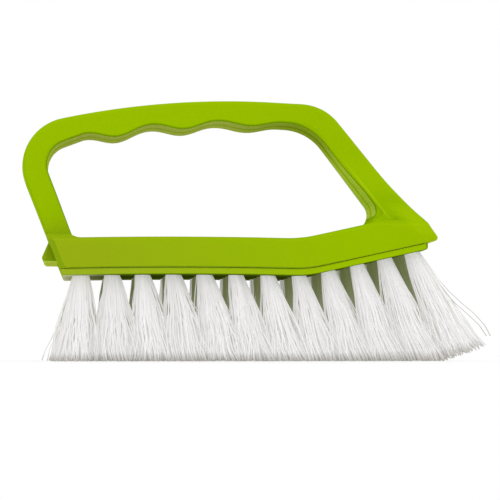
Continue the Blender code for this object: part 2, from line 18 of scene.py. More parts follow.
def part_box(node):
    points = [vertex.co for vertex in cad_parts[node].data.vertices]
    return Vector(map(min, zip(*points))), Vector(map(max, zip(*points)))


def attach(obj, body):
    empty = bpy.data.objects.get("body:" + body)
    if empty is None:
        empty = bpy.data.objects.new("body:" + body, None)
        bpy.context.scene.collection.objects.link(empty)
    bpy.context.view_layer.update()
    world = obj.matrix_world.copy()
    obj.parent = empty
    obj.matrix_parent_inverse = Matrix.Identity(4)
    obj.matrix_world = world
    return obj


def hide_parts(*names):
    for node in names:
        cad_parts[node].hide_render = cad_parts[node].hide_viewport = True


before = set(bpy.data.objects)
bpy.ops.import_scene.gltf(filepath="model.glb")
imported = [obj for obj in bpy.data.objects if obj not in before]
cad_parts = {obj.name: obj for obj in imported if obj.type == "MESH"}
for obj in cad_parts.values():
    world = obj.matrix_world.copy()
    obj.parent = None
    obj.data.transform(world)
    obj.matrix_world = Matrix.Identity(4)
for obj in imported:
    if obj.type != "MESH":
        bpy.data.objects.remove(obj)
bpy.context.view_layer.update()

# %% [markdown]
# ## Drawing the side view
# Nearly every edge of this brush is drawn in the side view and then runs straight across, as it left the
# mould. So a point of the side view is one complex number, x + z * 1j, and a line is a point and a
# direction. Corners are rounded by the same rule everywhere: a radius, tangent to both sides, in steps of a
# few degrees.

# %% Sizes that several pieces share, in metres
BRISTLE_LENGTH = 0.02983
STRIP_HEIGHT = 0.00247
PANEL_HEIGHT = 0.0108
NOSE_DECK_RISE = 0.0059
BASE_WIDTH = 0.0520
HANDLE_THICKNESS = 0.0200
SIDE_INSET = 0.0005
WALL = 0.0020
LIP = 0.0004

PARTING_Z = BRISTLE_LENGTH + STRIP_HEIGHT
FLOOR_Z = PARTING_Z + PANEL_HEIGHT
NOSE_DECK_Z = FLOOR_Z + NOSE_DECK_RISE
HALF_BASE = BASE_WIDTH / 2
HALF_HANDLE = HANDLE_THICKNESS / 2
HALF_BLOCK = HALF_BASE - SIDE_INSET
print("parting line, floor of the opening and nose deck in mm:",
      [round(height * 1000, 2) for height in (PARTING_Z, FLOOR_Z, NOSE_DECK_Z)])

# %% Small allowances
# The block's core stands clear of the halves, and a crease parts its plate from them
GAP = 0.0003
CREASE = 0.00015
# A solid is buried a little in the one it joins, and a cutter goes past the face it cuts
OVERLAP = 0.0005
SLIVER = 0.00005
BEYOND = 0.0050
print("gap in mm:", GAP * 1000, "overlap in mm:", OVERLAP * 1000)

# %% Points and lines


def aimed(degrees):
    return cmath.rect(1.0, math.radians(degrees))


def cross(first, second):
    return (first.conjugate() * second).imag


def crossing(first, second):
    """Point where two endless lines meet."""
    (start, along), (other, across) = first, second
    return start + along * cross(other - start, across) / cross(along, across)


def level(height):
    return complex(0.0, height), 1.0 + 0.0j


def upright(x):
    return complex(x, 0.0), 1.0j


def held(share):
    """A share held between 0 and 1."""
    return min(1.0, max(0.0, share))


def gradual(share):
    """A share held between 0 and 1 that starts and ends gently."""
    return 0.5 - 0.5 * math.cos(math.pi * held(share))


print("a level line and an upright one meet at", crossing(level(FLOOR_Z), upright(0.0)))

# %% Rounded outlines
ARC_STEP = math.radians(5)
ARC_CHORD = 0.0018
LEAST_ROUND = 1 / 8


def moved_corners(corners, insets):
    """Corners (point, radius) of a counter-clockwise polygon, each side moved inward by its own inset."""
    moved = []
    for i, (point, radius) in enumerate(corners):
        before = point - corners[i - 1][0]
        after = corners[(i + 1) % len(corners)][0] - point
        before, after = before / abs(before), after / abs(after)
        shift = (after * insets[i - 1] - before * insets[i]) / cross(before, after)
        if radius:
            inset = (insets[i - 1] + insets[i]) / 2
            radius = max(radius - math.copysign(inset, cross(before, after)), radius * LEAST_ROUND)
        moved.append((point + shift, radius))
    return moved


def corner_turns(corners):
    """Sides of a polygon, and the angle by which it turns at each corner."""
    count = len(corners)
    sides = [corners[(i + 1) % count][0] - corners[i][0] for i in range(count)]
    return sides, [cmath.phase(sides[i] / sides[i - 1]) for i in range(count)]


def arc_steps(corners):
    """How many steps the round at each corner takes."""
    _, turns = corner_turns(corners)
    return [math.ceil(max(abs(turn) / ARC_STEP, abs(turn) * radius / ARC_CHORD))
            for turn, (_, radius) in zip(turns, corners)]


def outline(corners, insets=0.0, steps=None):
    """Points of a counter-clockwise polygon with rounded corners, its sides moved inward by the insets."""
    if not isinstance(insets, list):
        insets = [insets] * len(corners)
    steps = steps or arc_steps(corners)
    corners = moved_corners(corners, insets)
    count = len(corners)
    sides, turns = corner_turns(corners)
    reaches = [corners[i][1] * math.tan(abs(turns[i]) / 2) for i in range(count)]
    room = [min(1.0, abs(sides[i]) / max(reaches[i] + reaches[(i + 1) % count], abs(sides[i])))
            for i in range(count)]
    points = []
    for i, (point, radius) in enumerate(corners):
        if not radius:
            points.append(point)
            continue
        radius *= min(room[i - 1], room[i])
        before = sides[i - 1] / abs(sides[i - 1])
        start = point - before * radius * math.tan(abs(turns[i]) / 2)
        spoke = -1j * before * math.copysign(radius, turns[i])
        centre = start - spoke
        points += [centre + spoke * cmath.rect(1.0, turns[i] * k / steps[i]) for k in range(steps[i] + 1)]
    return points


print("steps on a quarter round:", math.ceil(math.radians(90) / ARC_STEP))

# %% [markdown]
# ## The lines of the brush
# The base is a shallow box with a leaning heel. It bends upward to a pointed nose. The loop rises from the
# heel, runs over a long flat crown and comes down to the nose. The underside of the grip copies the crown,
# with a smooth ridge between each two fingers. Such a view could be traced by hand as one long curve, but
# lines that are named after the real edges can be changed one at a time, and the rest follows.

# %% Lines of the base, in metres and degrees
HEEL_X = -0.0681
HEEL_LEAN = 22.3
BEND_X = 0.0190
DECK_BEND_SHIFT = 0.0025
NOSE_RISE = 12.6
NOSE_TIP_X = 0.0662
NOSE_END_LEAN = 36.0
NOSE_MIDDLE_LEAN = 26.5
NOSE_BOW = 0.0029


def nose_line(rise):
    """Line this far above the parting line, where the base bends up to the nose."""
    return complex(BEND_X, PARTING_Z + rise), aimed(NOSE_RISE)


def heel_line(inward=0.0):
    """Back of the base and of the strut above it, moved into the base."""
    shift = inward / math.cos(math.radians(HEEL_LEAN))
    return complex(HEEL_X + shift, PARTING_Z), aimed(90.0 + HEEL_LEAN)


def deck_line(rise=0.0):
    """Top of the base this far above the opening's floor, where it bends up to the nose."""
    return complex(BEND_X - DECK_BEND_SHIFT, FLOOR_Z + rise), aimed(NOSE_RISE)


def nose_share(y):
    """How far the front end has come out of its square plan: none at the sides, all at the middle."""
    return 1.0 - (y / HALF_BASE) ** 2


def nose_end_line(share, inward=0.0):
    """Front end of the base, moved into the base; it bows out and stands steeper toward the middle."""
    lean = NOSE_END_LEAN + (NOSE_MIDDLE_LEAN - NOSE_END_LEAN) * share
    tip = crossing(nose_line(0.0), upright(NOSE_TIP_X))
    shift = NOSE_BOW * share - inward / math.cos(math.radians(lean))
    return tip + shift, aimed(90.0 + lean)


print("height of the nose tip in mm:", round(crossing(nose_line(0.0), upright(NOSE_TIP_X)).imag * 1000, 2))

# %% Outlines of the base and of the space inside it
BEND_RADIUS = 0.0500
NOSE_TIP_RADIUS = 0.0011
SHOULDER_RISE = 0.0023
SHOULDER_DROP = 0.0006
HEEL_STEP_WIDTH = 0.0015


def shoulder(y):
    """Height of the base's top over the floor of the opening: level under the handle, then sloping."""
    share = min(1.0, (HALF_BASE - y) / (HALF_BASE - HALF_HANDLE))
    return (SHOULDER_RISE + SHOULDER_DROP) * share - SHOULDER_DROP


def base_corners(rise, share):
    """The base, seen from the side, with its top this far over the floor of the opening."""
    end = nose_end_line(share)
    return [
        (crossing(heel_line(), level(PARTING_Z)), 0.0),
        (complex(BEND_X, PARTING_Z), BEND_RADIUS),
        (crossing(nose_line(0.0), end), NOSE_TIP_RADIUS),
        (crossing(end, level(NOSE_DECK_Z + rise)), NOSE_TIP_RADIUS),
        (crossing(deck_line(rise), level(NOSE_DECK_Z + rise)), 0.0),
        (deck_line(rise)[0], BEND_RADIUS),
        (crossing(heel_line(), level(FLOOR_Z + rise)), 0.0),
    ]


def cavity_corners(shrink, bottom_rise):
    """Space inside the base, or the block's core that fills it with a gap of shrink all round."""
    deck_rise = PANEL_HEIGHT - SHOULDER_DROP - WALL - shrink
    deck = NOSE_DECK_Z - SHOULDER_DROP - WALL
    end = crossing(level(deck), nose_end_line(nose_share(HALF_BASE - WALL), WALL)).real - shrink
    heel = heel_line(WALL + shrink)
    return [
        (crossing(heel, level(PARTING_Z + bottom_rise)), 0.0),
        (complex(BEND_X, PARTING_Z + bottom_rise), 0.0),
        (crossing(nose_line(bottom_rise), upright(end)), 0.0),
        (complex(end, deck - shrink), 0.0),
        (crossing(nose_line(deck_rise), level(deck - shrink)), 0.0),
        (complex(BEND_X, PARTING_Z + deck_rise), 0.0),
        (crossing(heel, level(PARTING_Z + deck_rise)), 0.0),
    ]


print("outline points of the base:", len(outline(base_corners(0.0, 0.0))),
      "and of its cavity:", len(outline(cavity_corners(0.0, -BEYOND))))

# %% Outline of the loop
HANDLE_HEIGHT = 0.09383
CROWN_X = -0.0026
CROWN_RADIUS = 0.3016
CROWN_BACK_SLOPE = 12.7
CROWN_FRONT_SLOPE = -2.4
HIP_HEIGHT = 0.0659
HIP_RADIUS = 0.0171
REAR_CORNER_RADIUS = 0.0186
FRONT_CORNER_RADIUS = 0.01835
KNEE_X = 0.0494
KNEE_HEIGHT = 0.0656
KNEE_RADIUS = 0.135
UPPER_LEG_SLOPE = -50.7
LOWER_LEG_SLOPE = -44.8


def crown_height(x):
    return HANDLE_HEIGHT - CROWN_RADIUS + math.sqrt(CROWN_RADIUS ** 2 - (x - CROWN_X) ** 2)


def crown_tangent(slope):
    x = CROWN_X - CROWN_RADIUS * math.sin(math.radians(slope))
    return complex(x, crown_height(x)), aimed(slope)


def knee():
    return complex(KNEE_X, KNEE_HEIGHT)


def hip_x():
    return crossing(heel_line(), level(HIP_HEIGHT)).real


def handle_corners():
    """Outer outline of the loop, with its feet buried in the base."""
    foot_rise = PANEL_HEIGHT / 2
    back_slope, front_slope = crown_tangent(CROWN_BACK_SLOPE), crown_tangent(CROWN_FRONT_SLOPE)
    return [
        (crossing(heel_line(OVERLAP), level(PARTING_Z + foot_rise)), 0.0),
        (complex(BEND_X, PARTING_Z + foot_rise), 0.0),
        (crossing(nose_line(foot_rise), nose_end_line(0.0, WALL)), 0.0),
        (crossing((knee(), aimed(LOWER_LEG_SLOPE)), level(NOSE_DECK_Z + SHOULDER_RISE - OVERLAP)), 0.0),
        (knee(), KNEE_RADIUS),
        (crossing((knee(), aimed(UPPER_LEG_SLOPE)), front_slope), FRONT_CORNER_RADIUS),
        (crossing(front_slope, back_slope), CROWN_RADIUS),
        (crossing(back_slope, upright(hip_x())), REAR_CORNER_RADIUS),
        (complex(hip_x(), HIP_HEIGHT), HIP_RADIUS),
        (crossing(heel_line(), level(FLOOR_Z + SHOULDER_RISE - OVERLAP)), 0.0),
    ]


# The packed brush has its middle over the origin, so the side view moves by the same step
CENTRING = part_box("right_handle_shell")[0].x - hip_x()
print("outline points of the loop:", len(outline(handle_corners())),
      "step to the middle in mm:", round(CENTRING * 1000, 3))

# %% Outline of the hand opening
STRUT_FOOT_WIDTH = 0.0092
STRUT_INNER_LEAN = 21.2
LEG_WIDTH = 0.0086
LEG_INNER_SLOPE = -52.6
GRIP_THICKNESS = 0.0074
RIDGE_HEIGHTS = (0.0029, 0.0025, 0.0018)
RIDGE_PITCH = 0.0241
FIRST_RIDGE_X = -0.0479
RIDGE_SHARPNESS = 1.08
REAR_HOLLOW_SLOPE = 10.0
OPENING_REAR_RADIUS = 0.0090
OPENING_FRONT_RADIUS = 0.0185
OPENING_HEEL_RADIUS = 0.0040
OPENING_NOSE_RADIUS = 0.0053


def grip_underside(x):
    """Height of the grip's underside: a copy of the crown with a ridge between each two fingers."""
    height = crown_height(x) - GRIP_THICKNESS
    for i, ridge in enumerate(RIDGE_HEIGHTS):
        distance = abs(x - FIRST_RIDGE_X - i * RIDGE_PITCH) / RIDGE_PITCH
        if distance < 0.5:
            height -= ridge * (0.5 + 0.5 * math.cos(2 * math.pi * distance)) ** RIDGE_SHARPNESS
    return height


def leg_inner_line():
    along = aimed(LEG_INNER_SLOPE)
    return knee() - 1j * along * LEG_WIDTH, along


def strut_inner_line():
    foot = crossing(heel_line(), level(FLOOR_Z)) + STRUT_FOOT_WIDTH
    return foot, aimed(90.0 + STRUT_INNER_LEAN)


def opening_corners():
    """Outline of the hand opening."""
    rear_x = FIRST_RIDGE_X - RIDGE_PITCH / 2
    front_x = rear_x + RIDGE_PITCH * len(RIDGE_HEIGHTS)
    spans = math.ceil((front_x - rear_x) / ARC_CHORD)
    wave = [front_x + (rear_x - front_x) * k / spans for k in range(spans + 1)]
    centre = complex(CROWN_X, HANDLE_HEIGHT - CROWN_RADIUS)
    front, rear = [(complex(x, grip_underside(x)), 1j * (complex(x, crown_height(x)) - centre))
                   for x in (front_x, rear_x)]
    rear = rear[0], rear[1] * aimed(REAR_HOLLOW_SLOPE)
    return [
        (crossing(strut_inner_line(), level(FLOOR_Z)), OPENING_HEEL_RADIUS),
        (deck_line()[0], BEND_RADIUS),
        (crossing(deck_line(), leg_inner_line()), OPENING_NOSE_RADIUS),
        (crossing(leg_inner_line(), front), OPENING_FRONT_RADIUS),
        *[(complex(x, grip_underside(x)), 0.0) for x in wave],
        (crossing(rear, strut_inner_line()), OPENING_REAR_RADIUS),
    ]


print("outline points of the opening:", len(outline(opening_corners())))

# %% Outlines of the lug and of the block's plate
LUG_WIDTH = 0.0400
LUG_REACH = 0.0058
LUG_BOTTOM_RISE = 0.00275
LUG_HEIGHT = 0.0069
LUG_RADIUS = 0.0012
BLOCK_NOSE_INSET = 0.0043
BLOCK_HEEL_RADIUS = 0.0009
BLOCK_NOSE_RADIUS = 0.0012
BLOCK_PLAN_RADIUS = 0.0020


def lug_corners():
    bottom, inner = level(PARTING_Z + LUG_BOTTOM_RISE), heel_line(WALL / 2)
    corner = crossing(heel_line(), bottom) - LUG_REACH
    top = crossing(heel_line(), level(PARTING_Z + LUG_BOTTOM_RISE + LUG_HEIGHT))
    return [
        (corner, LUG_RADIUS),
        (crossing(inner, bottom), 0.0),
        (crossing(inner, (corner, top - corner)), 0.0),
    ]


def plate_corners(y):
    """The block's plate, seen from the side; its nose end bows out in plan and has round corners."""
    into_corner = max(0.0, abs(y) - HALF_BLOCK + BLOCK_PLAN_RADIUS)
    held_back = BLOCK_PLAN_RADIUS - math.sqrt(max(0.0, BLOCK_PLAN_RADIUS ** 2 - into_corner ** 2))
    end = upright(NOSE_TIP_X - BLOCK_NOSE_INSET + NOSE_BOW * nose_share(y) - held_back)
    return [
        (crossing(heel_line(), level(BRISTLE_LENGTH)), BLOCK_HEEL_RADIUS),
        (complex(BEND_X, BRISTLE_LENGTH), BEND_RADIUS),
        (crossing(nose_line(-STRIP_HEIGHT), end), BLOCK_NOSE_RADIUS),
        (crossing(nose_line(-CREASE), end), 0.0),
        (complex(BEND_X, PARTING_Z - CREASE), BEND_RADIUS),
        (crossing(heel_line(), level(PARTING_Z - CREASE)), 0.0),
    ]


print("outline points of the lug:", len(outline(lug_corners())),
      "and of the plate:", len(outline(plate_corners(0.0))))

# %% [markdown]
# ## Two modelling moves for moulded plastic
# A moulded half is a stack of outlines: start from a filled circle, lay its points on the first outline,
# then extrude the face from one outline to the next. The outlines may shrink as they go, and that is how a
# rounded edge is made. Cutting and joining such stacks with Booleans gives the rest, as a toolmaker's
# cutters would.

# %% Draw a solid through outlines


def select_only(piece):
    bpy.ops.object.select_all(action="DESELECT")
    piece.select_set(True)
    bpy.context.view_layer.objects.active = piece


def ring(points, y):
    return [Vector((point.real + CENTRING, y, point.imag)) for point in points]


def drawn(name, rings):
    """Closed solid: a filled circle laid on the first ring and extruded to each of the others."""
    bpy.ops.object.select_all(action="DESELECT")
    bpy.ops.mesh.primitive_circle_add(vertices=len(rings[0]), fill_type="NGON")
    piece = bpy.context.object
    piece.name = name
    bpy.ops.object.mode_set(mode="EDIT")
    shape = bmesh.from_edit_mesh(piece.data)
    place = shape.verts.layers.int.new("place")
    shape.verts.ensure_lookup_table()
    for number, corner in enumerate(shape.verts):
        corner[place] = number
    for number, points in enumerate(rings):
        if number:
            bpy.ops.mesh.extrude_region_move()
            shape = bmesh.from_edit_mesh(piece.data)
            place = shape.verts.layers.int["place"]
        for corner in shape.verts:
            if corner.select:
                corner.co = points[corner[place]]
        bmesh.update_edit_mesh(piece.data)
    shape = bmesh.from_edit_mesh(piece.data)
    shape.verts.layers.int.remove(shape.verts.layers.int["place"])
    bmesh.update_edit_mesh(piece.data)
    bpy.ops.mesh.select_all(action="SELECT")
    bpy.ops.mesh.normals_make_consistent(inside=False)
    bpy.ops.object.mode_set(mode="OBJECT")
    return piece


def slab(name, corners, start, end, insets=0.0):
    points = outline(corners, insets)
    return drawn(name, [ring(points, start), ring(points, end)])


print("points of a ring of the lug:", len(ring(outline(lug_corners()), 0.0)))

# %% Join, cut, slice and reshape


def combine(target, tool, operation):
    """Join a tool to a piece or cut the piece with it, and remove the tool."""
    select_only(target)
    modifier = target.modifiers.new("boolean", "BOOLEAN")
    modifier.operation = operation
    modifier.solver = "EXACT"
    modifier.object = tool
    bpy.ops.object.modifier_apply(modifier="boolean")
    bpy.data.objects.remove(tool)


def cut(target, tool):
    combine(target, tool, "DIFFERENCE")


def join(target, tool):
    combine(target, tool, "UNION")


def sliced(piece, axis, slice_width):
    """Slice a piece right across at even steps, so that large faces bend and take light evenly."""
    select_only(piece)
    bpy.ops.object.mode_set(mode="EDIT")
    start, end = [sign * max(sign * corner.co[axis] for corner in piece.data.vertices) for sign in (-1, 1)]
    normal = Vector([float(axis == i) for i in range(3)])
    for k in range(math.floor(start / slice_width) + 1, math.ceil(end / slice_width)):
        bpy.ops.mesh.select_all(action="SELECT")
        bpy.ops.mesh.bisect(plane_co=normal * k * slice_width, plane_no=normal)
    bpy.ops.object.mode_set(mode="OBJECT")


def reshaped(piece, moved):
    """Put every corner of a piece where a rule moves it."""
    select_only(piece)
    bpy.ops.object.mode_set(mode="EDIT")
    shape = bmesh.from_edit_mesh(piece.data)
    for corner in shape.verts:
        corner.co = moved(corner.co)
    bmesh.update_edit_mesh(piece.data)
    bpy.ops.object.mode_set(mode="OBJECT")


def own_copy(piece):
    """A copy of a piece with its own mesh."""
    copy = piece.copy()
    copy.data = piece.data.copy()
    bpy.context.collection.objects.link(copy)
    return copy


def report(piece):
    print(piece.name, "faces:", len(piece.data.polygons),
          "size in mm:", [round(v * 1000, 1) for v in piece.dimensions])


def rounding(depth, steps=5):
    """Pairs of inset share, 0 to 1, and distance back from the face, for a rounded edge."""
    turns = [math.pi / 2 * k / steps for k in range(steps + 1)]
    return [(1 - math.cos(turn), depth * (1 - math.sin(turn))) for turn in turns]


print("outlines in a rounded edge:", len(rounding(LIP)))

# %% [markdown]
# ## Materials by arithmetic
# A finish is a small sum: a base colour, a little mottling, a roughness that drifts. Writing these sums in
# the node editor takes many links, so one class below lets a socket be added and multiplied like a number.

# %% Shader maths and one way to add any node
WHITE = (1.0, 1.0, 1.0, 1.0)


def add_node(tree, kind, settings=None, **sockets):
    """A shader node: its settings first, then its inputs, by name or by number as in i0, set or linked."""
    node = tree.nodes.new(kind)
    for name, value in (settings or {}).items():
        setattr(node, name, value)
    for name, value in sockets.items():
        socket = node.inputs[int(name[1:])] if name[1:].isdigit() else node.inputs[name.replace("_", " ")]
        if isinstance(value, Value):
            value = value.socket
        if isinstance(value, bpy.types.NodeSocket):
            tree.links.new(value, socket)
        else:
            socket.default_value = value
    return node


class Value:
    """A number in a shader, worked out by Math nodes."""

    def __init__(self, tree, socket):
        self.tree = tree
        self.socket = socket

    def maths(self, operation, first, second=0.0):
        node = add_node(self.tree, "ShaderNodeMath", {"operation": operation}, i0=first, i1=second)
        return Value(self.tree, node.outputs[0])

    def __add__(self, other):
        return self.maths("ADD", self, other)

    def __sub__(self, other):
        return self.maths("SUBTRACT", self, other)

    def __rsub__(self, other):
        return self.maths("SUBTRACT", other, self)

    def __mul__(self, other):
        return self.maths("MULTIPLY", self, other)

    __radd__ = __add__
    __rmul__ = __mul__

    def __abs__(self):
        return self.maths("ABSOLUTE", self)

    def within(self, low, high):
        """Share of the way from low to high, held between 0 and 1."""
        node = add_node(self.tree, "ShaderNodeMapRange", None, Value=self, From_Min=low, From_Max=high)
        return Value(self.tree, node.outputs[0])


print("a Value can:", [name.strip("_") for name in vars(Value) if callable(getattr(Value, name))])

# %% Helpers for materials


def blend(tree, factor, first, second):
    """Colour between two colours."""
    node = add_node(tree, "ShaderNodeMix", {"data_type": "RGBA"}, i0=factor, i6=first, i7=second)
    return node.outputs[2]


def noise(tree, place, scale, detail=2.0):
    node = add_node(tree, "ShaderNodeTexNoise", None, Vector=place, Scale=scale, Detail=detail)
    return Value(tree, node.outputs[0])


def attribute(tree, name):
    return Value(tree, add_node(tree, "ShaderNodeAttribute", {"attribute_name": name}).outputs["Fac"])


def new_material(name):
    """A material with its node tree, its Principled shader and the place on the object."""
    material = bpy.data.materials.new(name)
    material.use_nodes = True
    tree = material.node_tree
    place = add_node(tree, "ShaderNodeTexCoord").outputs["Object"]
    return material, tree, tree.nodes["Principled BSDF"], place


print("helpers:", [helper.__name__ for helper in (blend, noise, attribute, new_material)])

# %% [markdown]
# ## Lime green plastic
# The halves are matt polypropylene. Their sides are an even lime. Light and shade are painted into that
# colour:
# a painted sheen makes the sides more olive low at the heel, a painted highlight runs down the leg, the foot
# of the leg is painted lighter, and painted shade lies on the lug, beside the heel and on rounded edges. The
# walls that face down or into the opening are painted paler, as lit from below, and darker under the grip,
# with the joint along their middle. Lamps could be tuned to give these tones, but only for one view. So the
# painted light and shade are laid by place and by how far the surface has turned, and they hold from every
# side.

# %% Colours on the sides of a half, with painted light and shade
LIME = (0.324, 0.518, 0.0003, 1.0)
LIME_DEEP = (0.308, 0.494, 0.0003, 1.0)
# Painted sheen: the sides turn more olive low at the heel
LIME_OLIVE_SHEEN = (0.310, 0.430, 0.0070, 1.0)
OLIVE_FROM_X, OLIVE_TO_X = -0.0500, 0.0350
OLIVE_FROM_Z, OLIVE_TO_Z = 0.0400, 0.0520
# Painted highlight down the leg beside the opening
GLEAM_LIME = (0.420, 0.570, 0.0060, 1.0)
GLEAM_FROM, GLEAM_TO, GLEAM_SOFT = 0.0012, 0.0014, 0.0004
GLEAM_TOP, GLEAM_FOOT = 0.0740, 0.0540
GLEAM_FADE = 0.0050
# Painted light: the foot of the leg is lighter, against the shade of its hollow
FOOT_LIGHT_LIME = (0.346, 0.535, 0.0010, 1.0)
FOOT_REACH = 0.0040
FOOT_FROM_Z, FOOT_TO_Z = 0.0500, 0.0580
LOW_CORNER_FROM_X, LOW_CORNER_TO_X = 0.6 * KNEE_X, 0.7 * KNEE_X
LOW_CORNER_TO_Z = 0.0540
LUG_SHADE = (0.190, 0.290, 0.0030, 1.0)
LUG_SHADE_ONSET = 0.1
LUG_SHADE_LOSS = 0.7
BAND_SHADE = (0.240, 0.375, 0.0060, 1.0)
BAND_SHADE_ONSET = 0.6


def from_opening(x, z):
    """Distance of a place on the leg from the line of the opening."""
    edge, along = leg_inner_line()
    return (x - (edge.real + CENTRING)) * -along.imag + (z - edge.imag) * along.real


def leg_gleam(x, z):
    """The painted highlight down the leg beside the opening, faded at both its ends."""
    from_edge = from_opening(x, z)
    inner = from_edge.within(GLEAM_FROM - GLEAM_SOFT, GLEAM_FROM)
    outer = 1.0 - from_edge.within(GLEAM_TO, GLEAM_TO + GLEAM_SOFT)
    below_top = 1.0 - z.within(GLEAM_TOP - 2 * GLEAM_FADE, GLEAM_TOP)
    high = z.within(GLEAM_FOOT - GLEAM_FADE, GLEAM_FOOT) * below_top
    return inner * outer * high * x.within(0.0, GLEAM_FADE)


def leg_foot(x, z):
    """The foot of the leg, which flares into the shoulder in one even colour, painted lighter against the
    hollow's shade.
    """
    away = from_opening(x, z).within(0.5 * FOOT_REACH, FOOT_REACH)
    return away * (1.0 - z.within(FOOT_FROM_Z, FOOT_TO_Z)) * z.within(FLOOR_Z, FLOOR_Z + SHOULDER_RISE)


def low_corner(x, z):
    """The low front corner of the opening, where rounded edges get no painted shade."""
    return x.within(LOW_CORNER_FROM_X, LOW_CORNER_TO_X) * (1.0 - z.within(FOOT_FROM_Z, LOW_CORNER_TO_Z))


def heel_shades(tree, x, z, sides):
    """The sides with the shade on the lug behind the heel, and in the narrow band in front of it."""
    behind = (HEEL_X + CENTRING) - (x + (z - PARTING_Z) * math.tan(math.radians(HEEL_LEAN)))
    on_lug = behind.within(SLIVER, LUG_SHADE_ONSET * LUG_REACH)
    on_lug = on_lug * (1.0 - LUG_SHADE_LOSS * behind.within(0.0, LUG_REACH))
    in_band = behind.within(-HEEL_STEP_WIDTH, -BAND_SHADE_ONSET * HEEL_STEP_WIDTH)
    in_band = in_band * (1.0 - behind.within(-SLIVER, SLIVER))
    below_top = 1.0 - z.within(FLOOR_Z - HEEL_STEP_WIDTH, FLOOR_Z)
    return blend(tree, in_band * below_top, blend(tree, on_lug, sides, LUG_SHADE), BAND_SHADE)


print("lime sides:", LIME[:3], "olive low at the heel:", LIME_OLIVE_SHEEN[:3])

# %% Colours on the walls and of the block, with painted light and shade
# Painted light and shade: walls paler as lit from below, darker in shade under the grip and in its front
# corner
WALL_LIT_LIME = (0.560, 0.680, 0.0700, 1.0)
GRIP_WALL_SHADE = (0.490, 0.540, 0.1000, 1.0)
CORNER_WALL_SHADE = (0.320, 0.410, 0.0260, 1.0)
# The joint's line is darker of its own, and its tones follow the walls' painted light and shade
SEAM_LIME = (0.400, 0.560, 0.0080, 1.0)
GRIP_SEAM_SHADE = (0.370, 0.450, 0.0300, 1.0)
CORNER_SEAM_SHADE = (0.220, 0.290, 0.0100, 1.0)
GRIP_FROM_Z, GRIP_TO_Z = 0.0690, 0.0800
CORNER_FROM_X, CORNER_TO_X = -0.0080, 0.0200
SEAM_HALF_WIDTH = 0.0010
SEAM_FADE = 0.0007
BLOCK_LIME = (0.360, 0.545, 0.0010, 1.0)
# Painted sheen on the block toward the heel, as on the halves
BLOCK_OLIVE_SHEEN = (0.340, 0.455, 0.0150, 1.0)
# Painted reflection on the underside at the heel, and painted shade on it between the tufts
UNDERSIDE_HEEL_REFLECTION = (0.700, 0.690, 0.4200, 1.0)
UNDERSIDE_SHADE = (0.090, 0.140, 0.0080, 1.0)
UNDERSIDE_FADE_FROM_X, UNDERSIDE_FADE_TO_X = -0.0680, -0.0460


def wall_colours(tree, x, y, z):
    """Walls with the joint along their middle, painted pale as lit from below and shaded under the grip, most
    in its front corner.
    """
    forward, upward = x.within(CORNER_FROM_X, CORNER_TO_X), z.within(GRIP_FROM_Z, GRIP_TO_Z)
    walls = blend(tree, upward, WALL_LIT_LIME, blend(tree, forward, GRIP_WALL_SHADE, CORNER_WALL_SHADE))
    seam = blend(tree, upward, SEAM_LIME, blend(tree, forward, GRIP_SEAM_SHADE, CORNER_SEAM_SHADE))
    return blend(tree, abs(y).within(SEAM_HALF_WIDTH, SEAM_HALF_WIDTH + SEAM_FADE), seam, walls)


def handle_colours(tree, spot, flow):
    """Colours of a half on its sides and on its walls, with painted light and shade, and where its rounded
    edges take painted shade.
    """
    x, y, z = spot
    low_at_heel = (1.0 - x.within(OLIVE_FROM_X, OLIVE_TO_X)) * (1.0 - z.within(OLIVE_FROM_Z, OLIVE_TO_Z))
    sides = blend(tree, low_at_heel, blend(tree, flow, LIME, LIME_DEEP), LIME_OLIVE_SHEEN)
    sides = blend(tree, leg_gleam(x, z), sides, GLEAM_LIME)
    foot = leg_foot(x, z)
    sides = heel_shades(tree, x, z, blend(tree, foot, sides, FOOT_LIGHT_LIME))
    return sides, wall_colours(tree, x, y, z), (1.0 - foot) * (1.0 - low_corner(x, z))


def block_colours(tree, spot, flow):
    """The same of the block: a painted reflection on its underside at the heel, painted shade on it between
    the tufts, and painted shade on all its rounded edges.
    """
    x = spot[0]
    at_heel = 1.0 - x.within(OLIVE_FROM_X, OLIVE_TO_X)
    sides = blend(tree, at_heel, blend(tree, flow, BLOCK_LIME, LIME), BLOCK_OLIVE_SHEEN)
    inward = x.within(UNDERSIDE_FADE_FROM_X, UNDERSIDE_FADE_TO_X)
    return sides, blend(tree, inward, UNDERSIDE_HEEL_REFLECTION, UNDERSIDE_SHADE), 1.0


print("half width of the joint's line in mm:", SEAM_HALF_WIDTH * 1000)

# %% The two lime plastics
# Painted shade on rounded edges
ROUND_SHADE_LIME = (0.190, 0.350, 0.0003, 1.0)
EDGE_TURN_FROM, EDGE_TURN_TO = 0.08, 0.30
WALL_TURN_FROM, WALL_TURN_TO = 0.55, 0.85
LIP_TURN = 6.0
FLOW_SCALE = 28.0
GRAIN_SCALE, GRAIN_DETAIL = 900.0, 3.0
GRAIN_STRENGTH, GRAIN_HEIGHT = 0.05, 0.0002
MATT, MATT_DRIFT = 0.40, 0.10


